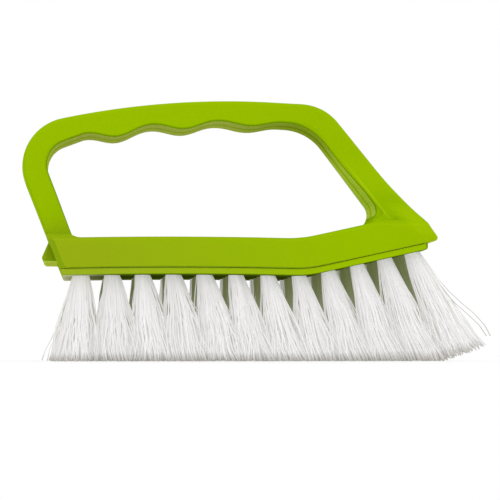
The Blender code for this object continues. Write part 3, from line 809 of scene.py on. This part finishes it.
def lime_plastic(name, colours):
    """Matt polypropylene with faint flow marks and a fine grain."""
    material, tree, shader, place = new_material(name)
    spot = [Value(tree, socket) for socket in add_node(tree, "ShaderNodeSeparateXYZ", None, i0=place).outputs]
    flow = noise(tree, place, FLOW_SCALE)
    grain = noise(tree, place, GRAIN_SCALE, GRAIN_DETAIL)
    sides, walls, crisp = colours(tree, spot, flow)
    # Painted shade on rounded edges and painted light and shade on walls, by how far the surface has turned;
    # the lip counts as more turned
    near_seam = 1.0 - abs(spot[1]).within(LIP, 2 * LIP)
    turned = attribute(tree, "turned") * (1.0 + LIP_TURN * near_seam)
    rounded = blend(tree, turned.within(EDGE_TURN_FROM, EDGE_TURN_TO) * crisp, sides, ROUND_SHADE_LIME)
    colour = blend(tree, turned.within(WALL_TURN_FROM, WALL_TURN_TO), rounded, walls)
    tree.links.new(colour, shader.inputs["Base Color"])
    tree.links.new((MATT + MATT_DRIFT * flow).socket, shader.inputs["Roughness"])
    bump = add_node(tree, "ShaderNodeBump", None,
                    Strength=GRAIN_STRENGTH, Distance=GRAIN_HEIGHT, Height=grain)
    tree.links.new(bump.outputs[0], shader.inputs["Normal"])
    shader.inputs["Specular IOR Level"].default_value = 0.0
    return material


handle_plastic = lime_plastic("handle_plastic", handle_colours)
block_plastic = lime_plastic("block_plastic", block_colours)
print("plastic nodes:", len(handle_plastic.node_tree.nodes), "and", len(block_plastic.node_tree.nodes))

# %% [markdown]
# ## White nylon
# A filament is clear to milky white, its cut end looks darker, and light passes from one to the next. Light
# inside a bundle could be traced through clear nylon, which takes long and stays grainy. So the filaments
# glow a little instead, and three numbers kept on the mesh say how each place differs.

# %% White nylon
NYLON = (0.85, 0.845, 0.85, 1.0)
NYLON_SHADE = (0.70, 0.69, 0.68, 1.0)
CUT_END = (0.48, 0.46, 0.43, 1.0)
# Painted shade deep inside the bundle, tinted green by the block
DEEP_IN_SHADE = (0.320, 0.360, 0.160, 1.0)
GLOW = 0.22
CUT_FROM = 0.91
NYLON_ROUGHNESS, NYLON_DRIFT = 0.40, 0.20
NYLON_GLOSS = 0.1


def white_nylon():
    """Filaments differ a little, glow with the light inside the bundle, and take a painted green shade deep
    inside.
    """
    material, tree, shader, _ = new_material("white_nylon")
    along, shade, daylight = [attribute(tree, name) for name in ("along", "shade", "daylight")]
    body = blend(tree, shade, NYLON, NYLON_SHADE)
    tipped = blend(tree, along.within(CUT_FROM, 1.0), body, CUT_END)
    colour = blend(tree, daylight, DEEP_IN_SHADE, tipped)
    tree.links.new(colour, shader.inputs["Base Color"])
    tree.links.new(colour, shader.inputs["Emission Color"])
    tree.links.new((NYLON_ROUGHNESS + NYLON_DRIFT * shade).socket, shader.inputs["Roughness"])
    shader.inputs["Emission Strength"].default_value = GLOW
    shader.inputs["Specular IOR Level"].default_value = NYLON_GLOSS
    return material


nylon = white_nylon()
print("nylon nodes:", len(nylon.node_tree.nodes))

# %% [markdown]
# ## Camera, floor and light
# The photograph was taken with a long lens from just above the floor and a little to the left. The lens
# looks slightly up, so the underside of the grip and of the heel lug shows. The floor and the world are
# nearly white and fill every shadow with soft light. One strong lamp would draw hard shadows that the
# photograph hasn't, so four weak and wide lamps add a gentle change of light from side to side.

# %% Camera
LENS = 115.56
SENSOR_WIDTH = 36.0
NEAREST_SEEN = 0.01
CAMERA_PLACE = Vector((-0.06244 + CENTRING, -0.58549, 0.00441))
CAMERA_YAW = math.radians(6.187)
CAMERA_PITCH = math.radians(3.476)


def add_camera():
    sight = bpy.data.cameras.new("camera")
    sight.lens = LENS
    sight.sensor_width = SENSOR_WIDTH
    sight.clip_start = NEAREST_SEEN
    camera = bpy.data.objects.new("camera", sight)
    bpy.context.scene.collection.objects.link(camera)
    forward = Vector((math.sin(CAMERA_YAW) * math.cos(CAMERA_PITCH),
                      math.cos(CAMERA_YAW) * math.cos(CAMERA_PITCH), math.sin(CAMERA_PITCH)))
    camera.location = CAMERA_PLACE
    camera.rotation_euler = forward.to_track_quat("-Z", "Y").to_euler()
    bpy.context.scene.camera = camera


add_camera()
print("camera at", [round(v, 4) for v in CAMERA_PLACE], "lens", LENS)

# %% World and lamps
WORLD_FILL = 0.90
LAMP_TARGET = Vector((0.0, 0.0, 0.045))
# Name, place, side and power of each lamp
LAMPS = (
    ("top_lamp", (-0.25, -0.25, 0.95), 0.7, 0.9),
    ("front_lamp", (-0.15, -1.2, 0.45), 0.9, 0.66),
    ("side_lamp", (0.9, -0.25, 0.50), 0.6, 0.3),
    ("low_lamp", (-0.7, -0.5, 0.05), 0.5, 0.50),
)


def add_lamp(name, place, size, power):
    """Square soft lamp that faces the middle of the brush."""
    light = bpy.data.lights.new(name, "AREA")
    light.size = size
    light.energy = power
    lamp = bpy.data.objects.new(name, light)
    bpy.context.scene.collection.objects.link(lamp)
    lamp.location = place
    lamp.rotation_euler = (LAMP_TARGET - Vector(place)).to_track_quat("-Z", "Y").to_euler()


def seen_rays(tree):
    """One for the rays that show a thing itself: to the camera, in a reflection or through clear stuff."""
    path = add_node(tree, "ShaderNodeLightPath").outputs
    camera, glossy, through = [Value(tree, path[f"Is {kind} Ray"])
                               for kind in ("Camera", "Glossy", "Transmission")]
    return (camera + glossy + through).within(0.0, 1.0)


def white_world():
    """White to the eye and in reflections, and weaker where it lights the brush."""
    world = bpy.data.worlds.new("studio")
    bpy.context.scene.world = world
    world.use_nodes = True
    tree = world.node_tree
    seen = seen_rays(tree)
    background = tree.nodes["Background"]
    background.inputs["Color"].default_value = WHITE
    tree.links.new((WORLD_FILL + (1.0 - WORLD_FILL) * seen).socket, background.inputs["Strength"])


for name, place, size, power in LAMPS:
    add_lamp(name, place, size, power)
white_world()
bpy.context.scene.view_settings.view_transform = "Standard"
print("lamps:", [name for name, *_ in LAMPS])

# %% The floor: white paper that keeps a soft shadow near the brush
FLOOR_SIDE = 8.0
PAPER_WHITE = (0.92, 0.92, 0.92, 1.0)
PAPER_ROUGHNESS = 0.9
SHADOW_REACH = 0.05
PAPER_REACH = 0.12
SHADOW_DEPTH = 0.30
TIPS_BELOW = 0.0005


def paper():
    material, tree, shader, place = new_material("paper")
    shader.inputs["Base Color"].default_value = PAPER_WHITE
    shader.inputs["Roughness"].default_value = PAPER_ROUGHNESS
    length = add_node(tree, "ShaderNodeVectorMath", {"operation": "LENGTH"}, i0=place)
    distance = Value(tree, length.outputs["Value"])
    white = (1.0 - SHADOW_DEPTH) + SHADOW_DEPTH * distance.within(SHADOW_REACH, PAPER_REACH)
    seen = seen_rays(tree)
    glow = add_node(tree, "ShaderNodeEmission", None, Color=WHITE, Strength=1.0)
    mixed = add_node(tree, "ShaderNodeMixShader", None,
                     i0=white * seen, i1=shader.outputs[0], i2=glow.outputs[0])
    tree.links.new(mixed.outputs[0], tree.nodes["Material Output"].inputs["Surface"])
    return material


def add_floor():
    bpy.ops.object.select_all(action="DESELECT")
    bpy.ops.mesh.primitive_plane_add(size=FLOOR_SIDE, location=(0.0, 0.0, -TIPS_BELOW))
    floor = bpy.context.object
    floor.name = "floor"
    floor.data.materials.append(paper())
    return floor


floor = add_floor()
print("floor side in metres:", round(floor.dimensions.x, 2))

# %% [markdown]
# ## The moulded halves: base and loop
# Each half has a lip at the joint, rounded by less than a millimetre, and a round of about 1.6 mm where the
# loop meets its flat face. The base slopes up to the loop as a shoulder. The leg flares out into that
# shoulder at the nose in one smooth hollow curve, and the strut at the heel meets it in a crisp fold. One
# subdivided cage would soften that fold, so the base, the loop and the opening are drawn one by one.

# %% The base of one half
LIP_STEPS = 3
BASE_EDGE = 0.0008
# How far each side of the outline draws in at the base's outer edge, from the bottom forward and round
BASE_SIDE_EDGES = [0.0004, 0.0004, 0.0014, 0.0009, 0.0009, 0.0009, 0.0008]
HANDLE_STATIONS = (0.4, 0.7, 1.0)
SHOULDER_STATIONS = 8


def lip_rings():
    """Pairs of inset and distance from the middle plane, for the rounded lip at the joint."""
    return [(LIP * share, back) for share, back in rounding(LIP, LIP_STEPS)[::-1]]


def base_half(side):
    steps = arc_steps(base_corners(0.0, 0.0))
    places = lip_rings()
    places += [(0.0, HALF_HANDLE * share) for share in HANDLE_STATIONS]
    places += [(0.0, HALF_HANDLE + (HALF_BASE - BASE_EDGE - HALF_HANDLE) * k / SHOULDER_STATIONS)
               for k in range(1, SHOULDER_STATIONS)]
    places += [([edge * share for edge in BASE_SIDE_EDGES], HALF_BASE - back)
               for share, back in rounding(BASE_EDGE)]
    return drawn("base", [ring(outline(base_corners(shoulder(y), nose_share(y)), inset, steps), side * y)
                          for inset, y in places])


print("outlines in the lip:", len(lip_rings()))

# %% The slim front corner of the loop
SLIMMING = 0.27
SLIM_FROM_X, SLIM_TO_X = 0.0120, 0.0300
SLIM_FROM_Z, SLIM_TO_Z = 0.0590, 0.0740
SLIM_DIRECTION = 40.0
LOOP_SHIFT = 0.0007 * aimed(SLIM_DIRECTION)
OPENING_SHIFT = -0.0004 * aimed(SLIM_DIRECTION)
LOOP_SLICE = 0.0020


def slimness(x, z):
    """How slim the loop is: not at all at the rear and the foot, fully at the front corner."""
    ahead = gradual((x - CENTRING - SLIM_FROM_X) / (SLIM_TO_X - SLIM_FROM_X))
    above = gradual((z - SLIM_FROM_Z) / (SLIM_TO_Z - SLIM_FROM_Z))
    return ahead * above


def slimmed(piece, shift):
    """Slice the piece both ways, bring its sides in where it is slim, and shift it there."""
    for axis in (0, 2):
        sliced(piece, axis, LOOP_SLICE)

    def moved(place):
        return place + slimness(place.x, place.z) * Vector((shift.real, -SLIMMING * place.y, shift.imag))

    reshaped(piece, moved)


print("slimmer at the front corner by", SLIMMING, "of the thickness")

# %% The flare of the leg
LEG_FLARE_HEIGHT = 0.0065
LEG_FLARE_WIDTH = 0.0120
FLARE_ROWS = 10
FLARE_COLUMNS = 8
FLARE_FROM = 0.0012
FLARE_REACH = 0.0060
LEAST_FLARE = 0.2


def flare_profile():
    """Heights and half widths down a leg that curves out until it lies along the sloping shoulder."""
    turns = np.linspace(0.0, math.pi / 2, FLARE_ROWS + 1)
    half_widths = HALF_HANDLE + LEG_FLARE_WIDTH * (1 - np.cos(turns))
    shoulders = NOSE_DECK_Z + np.array([shoulder(y) for y in half_widths])
    return shoulders + LEG_FLARE_HEIGHT * (1 - np.sin(turns)), half_widths


def setback(x, z, near_y, far_y):
    """How far a flared leg steps back behind the bowed nose end: all at its front, none at its back."""
    front = crossing((knee(), aimed(LOWER_LEG_SLOPE)), level(z)).real
    back = crossing(leg_inner_line(), level(z)).real
    near, far = [crossing(nose_end_line(nose_share(y)), level(z)).real for y in (near_y, far_y)]
    return held((x - CENTRING - back) / (front - back)) * (near - far)


def cut_leg_courses(piece, planes):
    """Slice only the leg's foot, by each plane (place, normal)."""
    select_only(piece)
    bpy.ops.object.mode_set(mode="EDIT")
    for place, normal in planes:
        shape = bmesh.from_edit_mesh(piece.data)
        for face in shape.faces:
            middle = face.calc_center_median()
            face.select_set(middle.x > 0.0 and middle.z < KNEE_HEIGHT)
        bmesh.update_edit_mesh(piece.data)
        bpy.ops.mesh.bisect(plane_co=place, plane_no=normal)
    bpy.ops.object.mode_set(mode="OBJECT")


def flare_leg(piece):
    """Slice the leg's foot in courses and along the opening, and flare it away from the opening."""
    heights, half_widths = flare_profile()
    edge, along = leg_inner_line()
    outward = Vector((-along.imag, 0.0, along.real))
    start = Vector((edge.real + CENTRING, 0.0, edge.imag))
    planes = [(Vector((0.0, 0.0, height)), Vector((0.0, 0.0, 1.0))) for height in heights]
    planes += [(start + outward * (FLARE_FROM + FLARE_REACH * k / FLARE_COLUMNS), outward)
               for k in range(FLARE_COLUMNS + 1)]
    cut_leg_courses(piece, planes)

    def flared(place):
        x, y, z = place
        if x <= 0.0:
            return place
        width = float(np.interp(z, heights[::-1], half_widths[::-1]))
        away = gradual(((place - start).dot(outward) - FLARE_FROM) / FLARE_REACH)
        away = LEAST_FLARE + (1.0 - LEAST_FLARE) * away
        wide = y * (1.0 + (width / HALF_HANDLE - 1.0) * away)
        return Vector((x - setback(x, z, y, wide) if abs(wide) < HALF_BASE else x, wide, z))

    reshaped(piece, flared)


print("the leg flares over", LEG_FLARE_HEIGHT * 1000, "mm of height")

# %% The loop of one half
HANDLE_EDGE = 0.0016


def loop_half(side):
    rings = [ring(outline(handle_corners(), inset), side * y) for inset, y in lip_rings()]
    for share, back in rounding(HANDLE_EDGE):
        rings.append(ring(outline(handle_corners(), HANDLE_EDGE * share), side * (HALF_HANDLE - back)))
    piece = drawn("loop", rings)
    slimmed(piece, LOOP_SHIFT)
    flare_leg(piece)
    return piece


print("outlines in the round of the loop's side:", len(rounding(HANDLE_EDGE)))

# %% The hand opening, as a cutter with its own rounded edges
OPENING_EDGE = 0.0011
ROUND_FROM = 0.0010
ROUND_TO = 0.0050


def edge_share(point):
    """How much of the edge rounding a point of the opening gets: none at the floor, all well above it."""
    floor_height = max(FLOOR_Z, crossing(deck_line(), upright(point.real)).imag)
    return held((point.imag - floor_height - ROUND_FROM) / (ROUND_TO - ROUND_FROM))


def opening_cutter(side):
    corners = opening_corners()
    plain = outline(corners)
    shares = [edge_share(point) for point in plain]
    rings = [ring(outline(corners, -LIP), -side * BEYOND)]
    rings += [ring(outline(corners, -inset), side * y) for inset, y in lip_rings()]
    flare = [(OPENING_EDGE * share, HALF_HANDLE + SLIVER - back) for share, back in rounding(OPENING_EDGE)]
    for inset, y in flare + [(OPENING_EDGE, HALF_BASE + BEYOND)]:
        wide = outline(corners, -inset)
        rings.append(ring([p + (q - p) * share for p, q, share in zip(plain, wide, shares)], side * y))
    piece = drawn("opening", rings)
    slimmed(piece, OPENING_SHIFT)
    return piece


full_rounds = [edge_share(point) == 1.0 for point in outline(opening_corners())]
print("opening points with a full round:", sum(full_rounds), "of", len(full_rounds))

# %% The band beside the heel and the lug behind it
PANEL_CORNER = 0.0015
BAND_LEG = 0.0060
LUG_EDGE = 0.0010


def heel_band_cutter(side):
    """Cuts the side back beside the heel, and leaves the panel a rounded edge and a rounded lower corner."""
    rings = []
    for share, back in rounding(SIDE_INSET):
        heel = heel_line(HEEL_STEP_WIDTH + SIDE_INSET * share)
        foot = crossing(heel, level(PARTING_Z + SLIVER))
        corners = [
            (crossing(heel_line(-BEYOND), level(PARTING_Z - BEYOND)), 0.0),
            (complex(foot.real + BAND_LEG, PARTING_Z - BEYOND), 0.0),
            (foot + BAND_LEG, 0.0),
            (foot, PANEL_CORNER),
            (crossing(heel, level(NOSE_DECK_Z)), 0.0),
            (crossing(heel_line(-BEYOND), level(NOSE_DECK_Z)), 0.0),
        ]
        rings.append(ring(outline(corners), side * (HALF_BASE - back)))
    rings.append(ring(outline(corners), side * (HALF_BASE + BEYOND)))
    return drawn("band", rings)


def lug_half(side):
    places = lip_rings() + [(LUG_EDGE * share, LUG_WIDTH / 2 - back) for share, back in rounding(LUG_EDGE)]
    return drawn("lug", [ring(outline(lug_corners(), inset), side * y) for inset, y in places])


print("lug width in mm:", LUG_WIDTH * 1000)

# %% [markdown]
# ## A slight camber
# The long crease and the floor of the opening both bow up by about half a millimetre between the heel and
# the bend, and the heel hangs a little low, as a long moulding does when it cools. The lines above could
# carry that bow, but every crossing of theirs would then need a curve. So the finished pieces are sliced
# across and lifted along a gentle curve, and the lift fades out above the base.

# %% Camber
CAMBER = 0.00055
HEEL_DROOP = 0.00042
BEND_DROOP = 0.00011
SLICE_WIDTH = 0.0045
SLICE_HEIGHT = 0.0030
CAMBER_TOP = 0.046
CAMBER_END = 0.060


def camber(x, z=0.0):
    """Lift at a place of the side view: a shallow arch from the drooping heel to the bend."""
    share = held((x - HEEL_X) / (BEND_X - HEEL_X))
    arch = 4 * CAMBER * share * (1 - share)
    droop = HEEL_DROOP + (BEND_DROOP - HEEL_DROOP) * share
    return (arch - droop) * held((CAMBER_END - z) / (CAMBER_END - CAMBER_TOP))


def cambered(piece):
    """Slice the piece across and lift it along the arch."""
    sliced(piece, 0, SLICE_WIDTH)

    def lifted(place):
        return Vector((place.x, place.y, place.z + camber(place.x - CENTRING, place.z)))

    reshaped(piece, lifted)


print("lift between heel and bend in mm:", round(camber((HEEL_X + BEND_X) / 2) * 1000, 3))

# %% The finish of a piece
SMOOTH_ANGLE = math.radians(30)
UP_LIMIT, UP_FADE = 0.60, 0.5
BACK_LIMIT, BACK_FADE = 0.6, 0.2


def keep_numbers(piece, name, domain, values):
    """Keep a number for each place of the mesh, for its material to read."""
    piece.data.attributes.new(name, "FLOAT", domain).data.foreach_set("value", values.ravel())


def mark_walls(piece):
    """Mark how far each place has turned from the side to a wall; tops and the strut's back aren't walls."""
    normals = np.empty(len(piece.data.loops) * 3)
    piece.data.corner_normals.foreach_get("vector", normals)
    normals = normals.reshape(-1, 3)
    turned = (1.0 - np.abs(normals[:, 1])) * np.clip((UP_LIMIT - normals[:, 2]) / UP_FADE, 0.0, 1.0)
    corners = np.empty(len(piece.data.loops), dtype=int)
    piece.data.loops.foreach_get("vertex_index", corners)
    at_rear = np.array([corner.co.x < 0.0 for corner in piece.data.vertices])[corners]
    turned *= 1.0 - at_rear * np.clip((-normals[:, 0] - BACK_LIMIT) / BACK_FADE, 0.0, 1.0)
    # The turned share says where edges and walls take painted light and shade
    keep_numbers(piece, "turned", "CORNER", turned)


def finished(piece, node, slot, material):
    """Give a piece its finish and its place in the frame."""
    piece.name = node + "_visual"
    piece.data.materials.clear()
    piece.data.materials.append(material)
    select_only(piece)
    bpy.ops.object.shade_smooth_by_angle(angle=SMOOTH_ANGLE)
    if slot != "bristle":
        weighting = piece.modifiers.new("weighting", "WEIGHTED_NORMAL")
        weighting.keep_sharp = True
        bpy.ops.object.modifier_apply(modifier="weighting")
        mark_walls(piece)
    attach(piece, "root")
    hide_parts(node)


print("edges sharper than", round(math.degrees(SMOOTH_ANGLE)), "degrees stay crisp")

# %% Both halves


def handle_shell(node, side):
    shell = base_half(side)
    join(shell, loop_half(side))
    cut(shell, opening_cutter(side))
    cut(shell, slab("cavity", cavity_corners(0.0, -BEYOND), -side * BEYOND, side * (HALF_BASE - WALL)))
    cut(shell, heel_band_cutter(side))
    join(shell, lug_half(side))
    sliced(shell, 2, SLICE_HEIGHT)
    cambered(shell)
    finished(shell, node, "handle", handle_plastic)
    return shell


for node, side in (("right_handle_shell", -1), ("left_handle_shell", 1)):
    report(handle_shell(node, side))

# %% [markdown]
# ## The bristle block
# The block is a plate under the base with a raised core between the halves. Its edge shows as the strip
# below the long crease. Four rows of twelve round holes hold the tufts. One drill is modelled and copied to
# every hole, and the block is cut once with all of them, which is quicker than 48 cuts.

# %% Places of the tufts
TUFT_ROWS = 4
TUFTS_PER_ROW = 12
TUFT_DEPTH = 0.0062
TUFT_HEEL_MARGIN = 0.0061
TUFT_NOSE_MARGIN = 0.0048
TUFT_SIDE_MARGIN = 0.0087
TUFT_CROWDING = 0.035
TUFT_DRIFT = 0.0010
TUFT_DRIFT_START = 0.04


def tuft_place(column):
    """Root of a tuft on the underside, the direction of the underside there and its share of the way."""
    flat = BEND_X - crossing(heel_line(), level(BRISTLE_LENGTH)).real
    sloped = (NOSE_TIP_X - BLOCK_NOSE_INSET - BEND_X) / math.cos(math.radians(NOSE_RISE))
    span = flat + sloped - TUFT_HEEL_MARGIN - TUFT_NOSE_MARGIN
    share = column / (TUFTS_PER_ROW - 1)
    distance = TUFT_HEEL_MARGIN + span * (share + TUFT_CROWDING * share * (1 - share))
    distance -= TUFT_DRIFT * math.sin(2 * math.pi * (share - TUFT_DRIFT_START))
    along = 1.0 + 0.0j if distance < flat else aimed(NOSE_RISE)
    place = complex(BEND_X, BRISTLE_LENGTH) + along * (distance - flat)
    return place + 1j * camber(place.real), along, share


def row_y(row):
    return (HALF_BLOCK - TUFT_SIDE_MARGIN) * (2 * row / (TUFT_ROWS - 1) - 1)


print("tuft places in mm:", [round(tuft_place(column)[0].real * 1000, 1) for column in range(TUFTS_PER_ROW)])

# %% The block
HOLE_RADIUS = 0.0027
HOLE_SIDES = 24
BLOCK_EDGE = 0.0005
# Distances from the middle at which the plate is drawn, close together where its corners are round in plan
BLOCK_STATIONS = (0.0246, 0.0242, 0.0238, 0.0234, 0.0190, 0.0130, 0.0070, 0.0)


def drills():
    """All 48 holes as one tool: one drill, copied and stood in every place."""
    bpy.ops.object.select_all(action="DESELECT")
    bpy.ops.mesh.primitive_cylinder_add(vertices=HOLE_SIDES, radius=HOLE_RADIUS, depth=2 * TUFT_DEPTH)
    drill = bpy.context.object
    copies = []
    for row in range(TUFT_ROWS):
        for column in range(TUFTS_PER_ROW):
            place, along, _ = tuft_place(column)
            turn = Matrix(((along.real, 0.0, -along.imag), (0.0, 1.0, 0.0), (along.imag, 0.0, along.real)))
            spot = Vector((place.real + CENTRING, row_y(row), place.imag))
            copy = own_copy(drill)
            copy.data.transform(Matrix.Translation(spot) @ turn.to_4x4())
            copies.append(copy)
    bpy.data.objects.remove(drill)
    select_only(copies[0])
    for copy in copies:
        copy.select_set(True)
    bpy.ops.object.join()
    return copies[0]


def bristle_block():
    places = [(BLOCK_EDGE * share, HALF_BLOCK - back) for share, back in rounding(BLOCK_EDGE)][::-1]
    places += [(0.0, y) for y in BLOCK_STATIONS]
    places += [(inset, -y) for inset, y in places[:-1][::-1]]
    block = drawn("plate", [ring(outline(plate_corners(y), inset), y) for inset, y in places])
    half_core = HALF_BASE - WALL - GAP
    join(block, slab("core", cavity_corners(GAP, -GAP - OVERLAP), -half_core, half_core))
    cambered(block)
    cut(block, drills())
    finished(block, "bristle_block", "block", block_plastic)
    return block


report(bristle_block())

# %% [markdown]
# ## The tufts
# Each tuft is a bundle of nylon filaments, folded into its hole and cut level. The filaments leave the hole
# side by side and flare out to three times its width and more. The first column leans back a little, each
# one after it leans more toward the nose, and a few filaments go their own way. Hair curves are quick to
# comb, but a library part needs a mesh. So one filament is drawn and repeated by an Array modifier, and each
# tuft is a copy of that bundle, with every filament laid along its own curve.

# %% One bundle of straight filaments
FILAMENTS = 130
FILAMENT_RINGS = 9
FILAMENT_SIDES = 3


def straight_bundle():
    """Filaments of unit radius and length in one place, ready to be laid along their curves."""
    section = [cmath.rect(1.0, 2 * math.pi * k / FILAMENT_SIDES) for k in range(FILAMENT_SIDES)]
    rings = [[Vector((corner.real, corner.imag, -k / (FILAMENT_RINGS - 1))) for corner in section]
             for k in range(FILAMENT_RINGS)]
    bundle = drawn("bundle", rings)
    select_only(bundle)
    array = bundle.modifiers.new("array", "ARRAY")
    array.count = FILAMENTS
    array.use_relative_offset = False
    bpy.ops.object.modifier_apply(modifier="array")
    return bundle


bundle = straight_bundle()
print("bundle vertices:", len(bundle.data.vertices))

# %% Tips of the filaments
TIP_RADIUS = 0.0094
SIDE_TIP_RADIUS = 0.0080
HEEL_TUFT_LEAN = -0.0019
MIDDLE_TUFT_LEAN = 0.0082
NOSE_TUFT_LEAN = 0.0180
HEEL_LEAN_FADE = 0.16
NOSE_LEAN_POWER = 6
SIDE_TUFT_LEAN = 0.0015
TRIM_END_X = 0.0680
TRIM_END_SLOPE = 18.0
RAGGED = 0.00040
LOCKS = 13
LOCK_SWAY = 0.0008
FILAMENT_SWAY = 0.00040
STRAY_SWAY = 0.0011
STRAY_SHARE = 0.05
NOSE_STRAY_REACHES = (0.0108, 0.00864)
NOSE_STRAY_RISE = 0.0085
LOCK_OF_FILAMENT = np.arange(FILAMENTS) % LOCKS


def trimmed_height(x):
    """Height of the trimmed tips: level, then rising at the nose."""
    return np.maximum(0.0, x - TRIM_END_X) * math.tan(math.radians(TRIM_END_SLOPE))


def tuft_lean(share):
    """How far the tips of a column lie toward the nose from its roots."""
    lean = HEEL_TUFT_LEAN + (MIDDLE_TUFT_LEAN - HEEL_TUFT_LEAN) * (1 - math.exp(-share / HEEL_LEAN_FADE))
    return lean + (NOSE_TUFT_LEAN - MIDDLE_TUFT_LEAN) * share ** NOSE_LEAN_POWER


def filament_tips(chance, spiral, middle_x, y):
    """Tips, swayed by lock and one by one and cut nearly level, and which of the filaments stray."""
    lock_sway = chance.normal(0.0, LOCK_SWAY, (LOCKS, 2))[LOCK_OF_FILAMENT]
    stray = chance.random(FILAMENTS) < STRAY_SHARE
    sway = chance.normal(0.0, 1.0, (FILAMENTS, 2)) * (FILAMENT_SWAY + STRAY_SWAY * stray)[:, None] + lock_sway
    tip_x = middle_x + spiral.real * TIP_RADIUS + sway[:, 0]
    tip_y = y * (1 + SIDE_TUFT_LEAN / HALF_BLOCK) + spiral.imag * SIDE_TIP_RADIUS + sway[:, 1]
    tip_z = trimmed_height(tip_x) - TIPS_BELOW + np.abs(chance.normal(0.0, RAGGED, FILAMENTS))
    return tip_x, tip_y, tip_z, stray


def loosen_foremost(tip_x, tip_z, middle_x):
    """Let the foremost filaments of a tuft stick out ahead of it, and say which they are."""
    foremost = np.argsort(-tip_x)[:len(NOSE_STRAY_REACHES)]
    tip_x[foremost] = middle_x + np.array(NOSE_STRAY_REACHES)
    tip_z[foremost] = NOSE_STRAY_RISE
    return foremost


print("lean of the first and last column in mm:", [round(tuft_lean(share) * 1000, 1) for share in (0.0, 1.0)])

# %% Waves and shades of the filaments
WAVE = 0.00080
STRAY_WAVE = 1.2
NOSE_STRAY_WAVE = 2.0
NOSE_STRAY_GREYING = 2.5
LEAST_TURNS, TURNS_SPREAD = 0.8, 1.4
PHASE_SPREAD = 0.5
RANDOM_SHADE = 0.6
EDGE_SHADE = 0.6
EDGE_SHADE_POWER = 4
OPEN_SIDE = 0.0135
OPEN_REACH = 0.0025
OPEN_TIPS = 0.80


def filament_waves(chance, along, stray, loose):
    """Sideways wave of every filament: nothing at its root, and much alike within a lock."""
    turns = (LEAST_TURNS + TURNS_SPREAD * chance.random(LOCKS))[LOCK_OF_FILAMENT]
    phase = (2 * math.pi * chance.random((LOCKS, 2)))[LOCK_OF_FILAMENT]
    phase = phase + chance.normal(0.0, PHASE_SPREAD, (FILAMENTS, 2))
    wave = WAVE * along[:, :, None]
    wave = wave * np.sin(2 * math.pi * turns[:, None, None] * along[:, :, None] + phase[:, None, :])
    wave *= (1.0 + STRAY_WAVE * stray)[:, None, None]
    wave[loose] *= NOSE_STRAY_WAVE
    return wave


def daylight(y, along):
    """How much daylight reaches a filament: all outside the outer rows, and more toward the tips."""
    side = np.clip((np.abs(y) - OPEN_SIDE) / OPEN_REACH, 0.0, 1.0)
    tips = np.clip(along / OPEN_TIPS, 0.0, 1.0) ** 2
    return side + (1.0 - side) * tips


print("a filament turns", LEAST_TURNS, "to", round(LEAST_TURNS + TURNS_SPREAD, 1), "times")

# %% Tufts
ROOT_RADIUS = 0.0022
ROOT_DEPTH = 0.0020
FILAMENT_RADIUS = 0.00021
HEEL_FLARE_POWER = 0.86
NOSE_FLARE_POWER = 1.08
GOLDEN_ANGLE = math.pi * (3 - math.sqrt(5))
FIRST_SEED = 1000


def tuft(row, column):
    """One tuft: the straight bundle with every filament laid from its root to its tip."""
    place, direction, share = tuft_place(column)
    middle_x, y = place.real + tuft_lean(share), row_y(row)
    chance = np.random.default_rng(FIRST_SEED + row * TUFTS_PER_ROW + column)
    number = np.arange(FILAMENTS)
    spiral = np.sqrt((number + 0.5) / FILAMENTS) * np.exp(1j * (number * GOLDEN_ANGLE + row + column))
    tip_x, tip_y, tip_z, stray = filament_tips(chance, spiral, middle_x, y)
    at_near_nose = row == 0 and column == TUFTS_PER_ROW - 1
    loose = loosen_foremost(tip_x, tip_z, middle_x) if at_near_nose else []
    root = place + direction * (spiral.real * ROOT_RADIUS + 1j * ROOT_DEPTH)
    root_y = y + spiral.imag * ROOT_RADIUS

    piece = own_copy(bundle)
    spots = np.empty(len(piece.data.vertices) * 3)
    piece.data.vertices.foreach_get("co", spots)
    spots = spots.reshape(FILAMENTS, -1, 3)
    along = -spots[:, :, 2]
    wave = filament_waves(chance, along, stray, loose)
    flare = along ** (HEEL_FLARE_POWER + (NOSE_FLARE_POWER - HEEL_FLARE_POWER) * share)
    laid = np.empty_like(spots)
    laid[:, :, 0] = root.real[:, None] + (tip_x - root.real)[:, None] * flare + wave[:, :, 0] + CENTRING
    laid[:, :, 1] = root_y[:, None] + (tip_y - root_y)[:, None] * flare + wave[:, :, 1]
    laid[:, :, 2] = root.imag[:, None] + (tip_z - root.imag)[:, None] * along
    laid[:, :, :2] += spots[:, :, :2] * FILAMENT_RADIUS
    piece.data.vertices.foreach_set("co", laid.ravel())

    # A random tone for each filament, plus painted shade on those at the sides of the tuft
    shade = RANDOM_SHADE * chance.random(FILAMENTS) + EDGE_SHADE * np.abs(spiral.real) ** EDGE_SHADE_POWER
    # The loose filaments at the nose take the cut end's grey further up
    greyed_along = along.copy()
    greyed_along[loose] = np.clip(NOSE_STRAY_GREYING * along[loose], 0.0, 1.0)
    keep_numbers(piece, "along", "POINT", greyed_along)
    keep_numbers(piece, "shade", "POINT", np.broadcast_to(np.clip(shade, 0.0, 1.0)[:, None], along.shape))
    keep_numbers(piece, "daylight", "POINT", daylight(laid[:, :, 1], along))
    piece.data.update()
    finished(piece, f"tuft_r{row + 1}_c{column + 1:02d}", "bristle", nylon)
    return piece


tufts = [tuft(row, column) for row in range(TUFT_ROWS) for column in range(TUFTS_PER_ROW)]
bpy.data.objects.remove(bundle)
print("tufts:", len(tufts), "faces in all:", sum(len(made.data.polygons) for made in tufts))
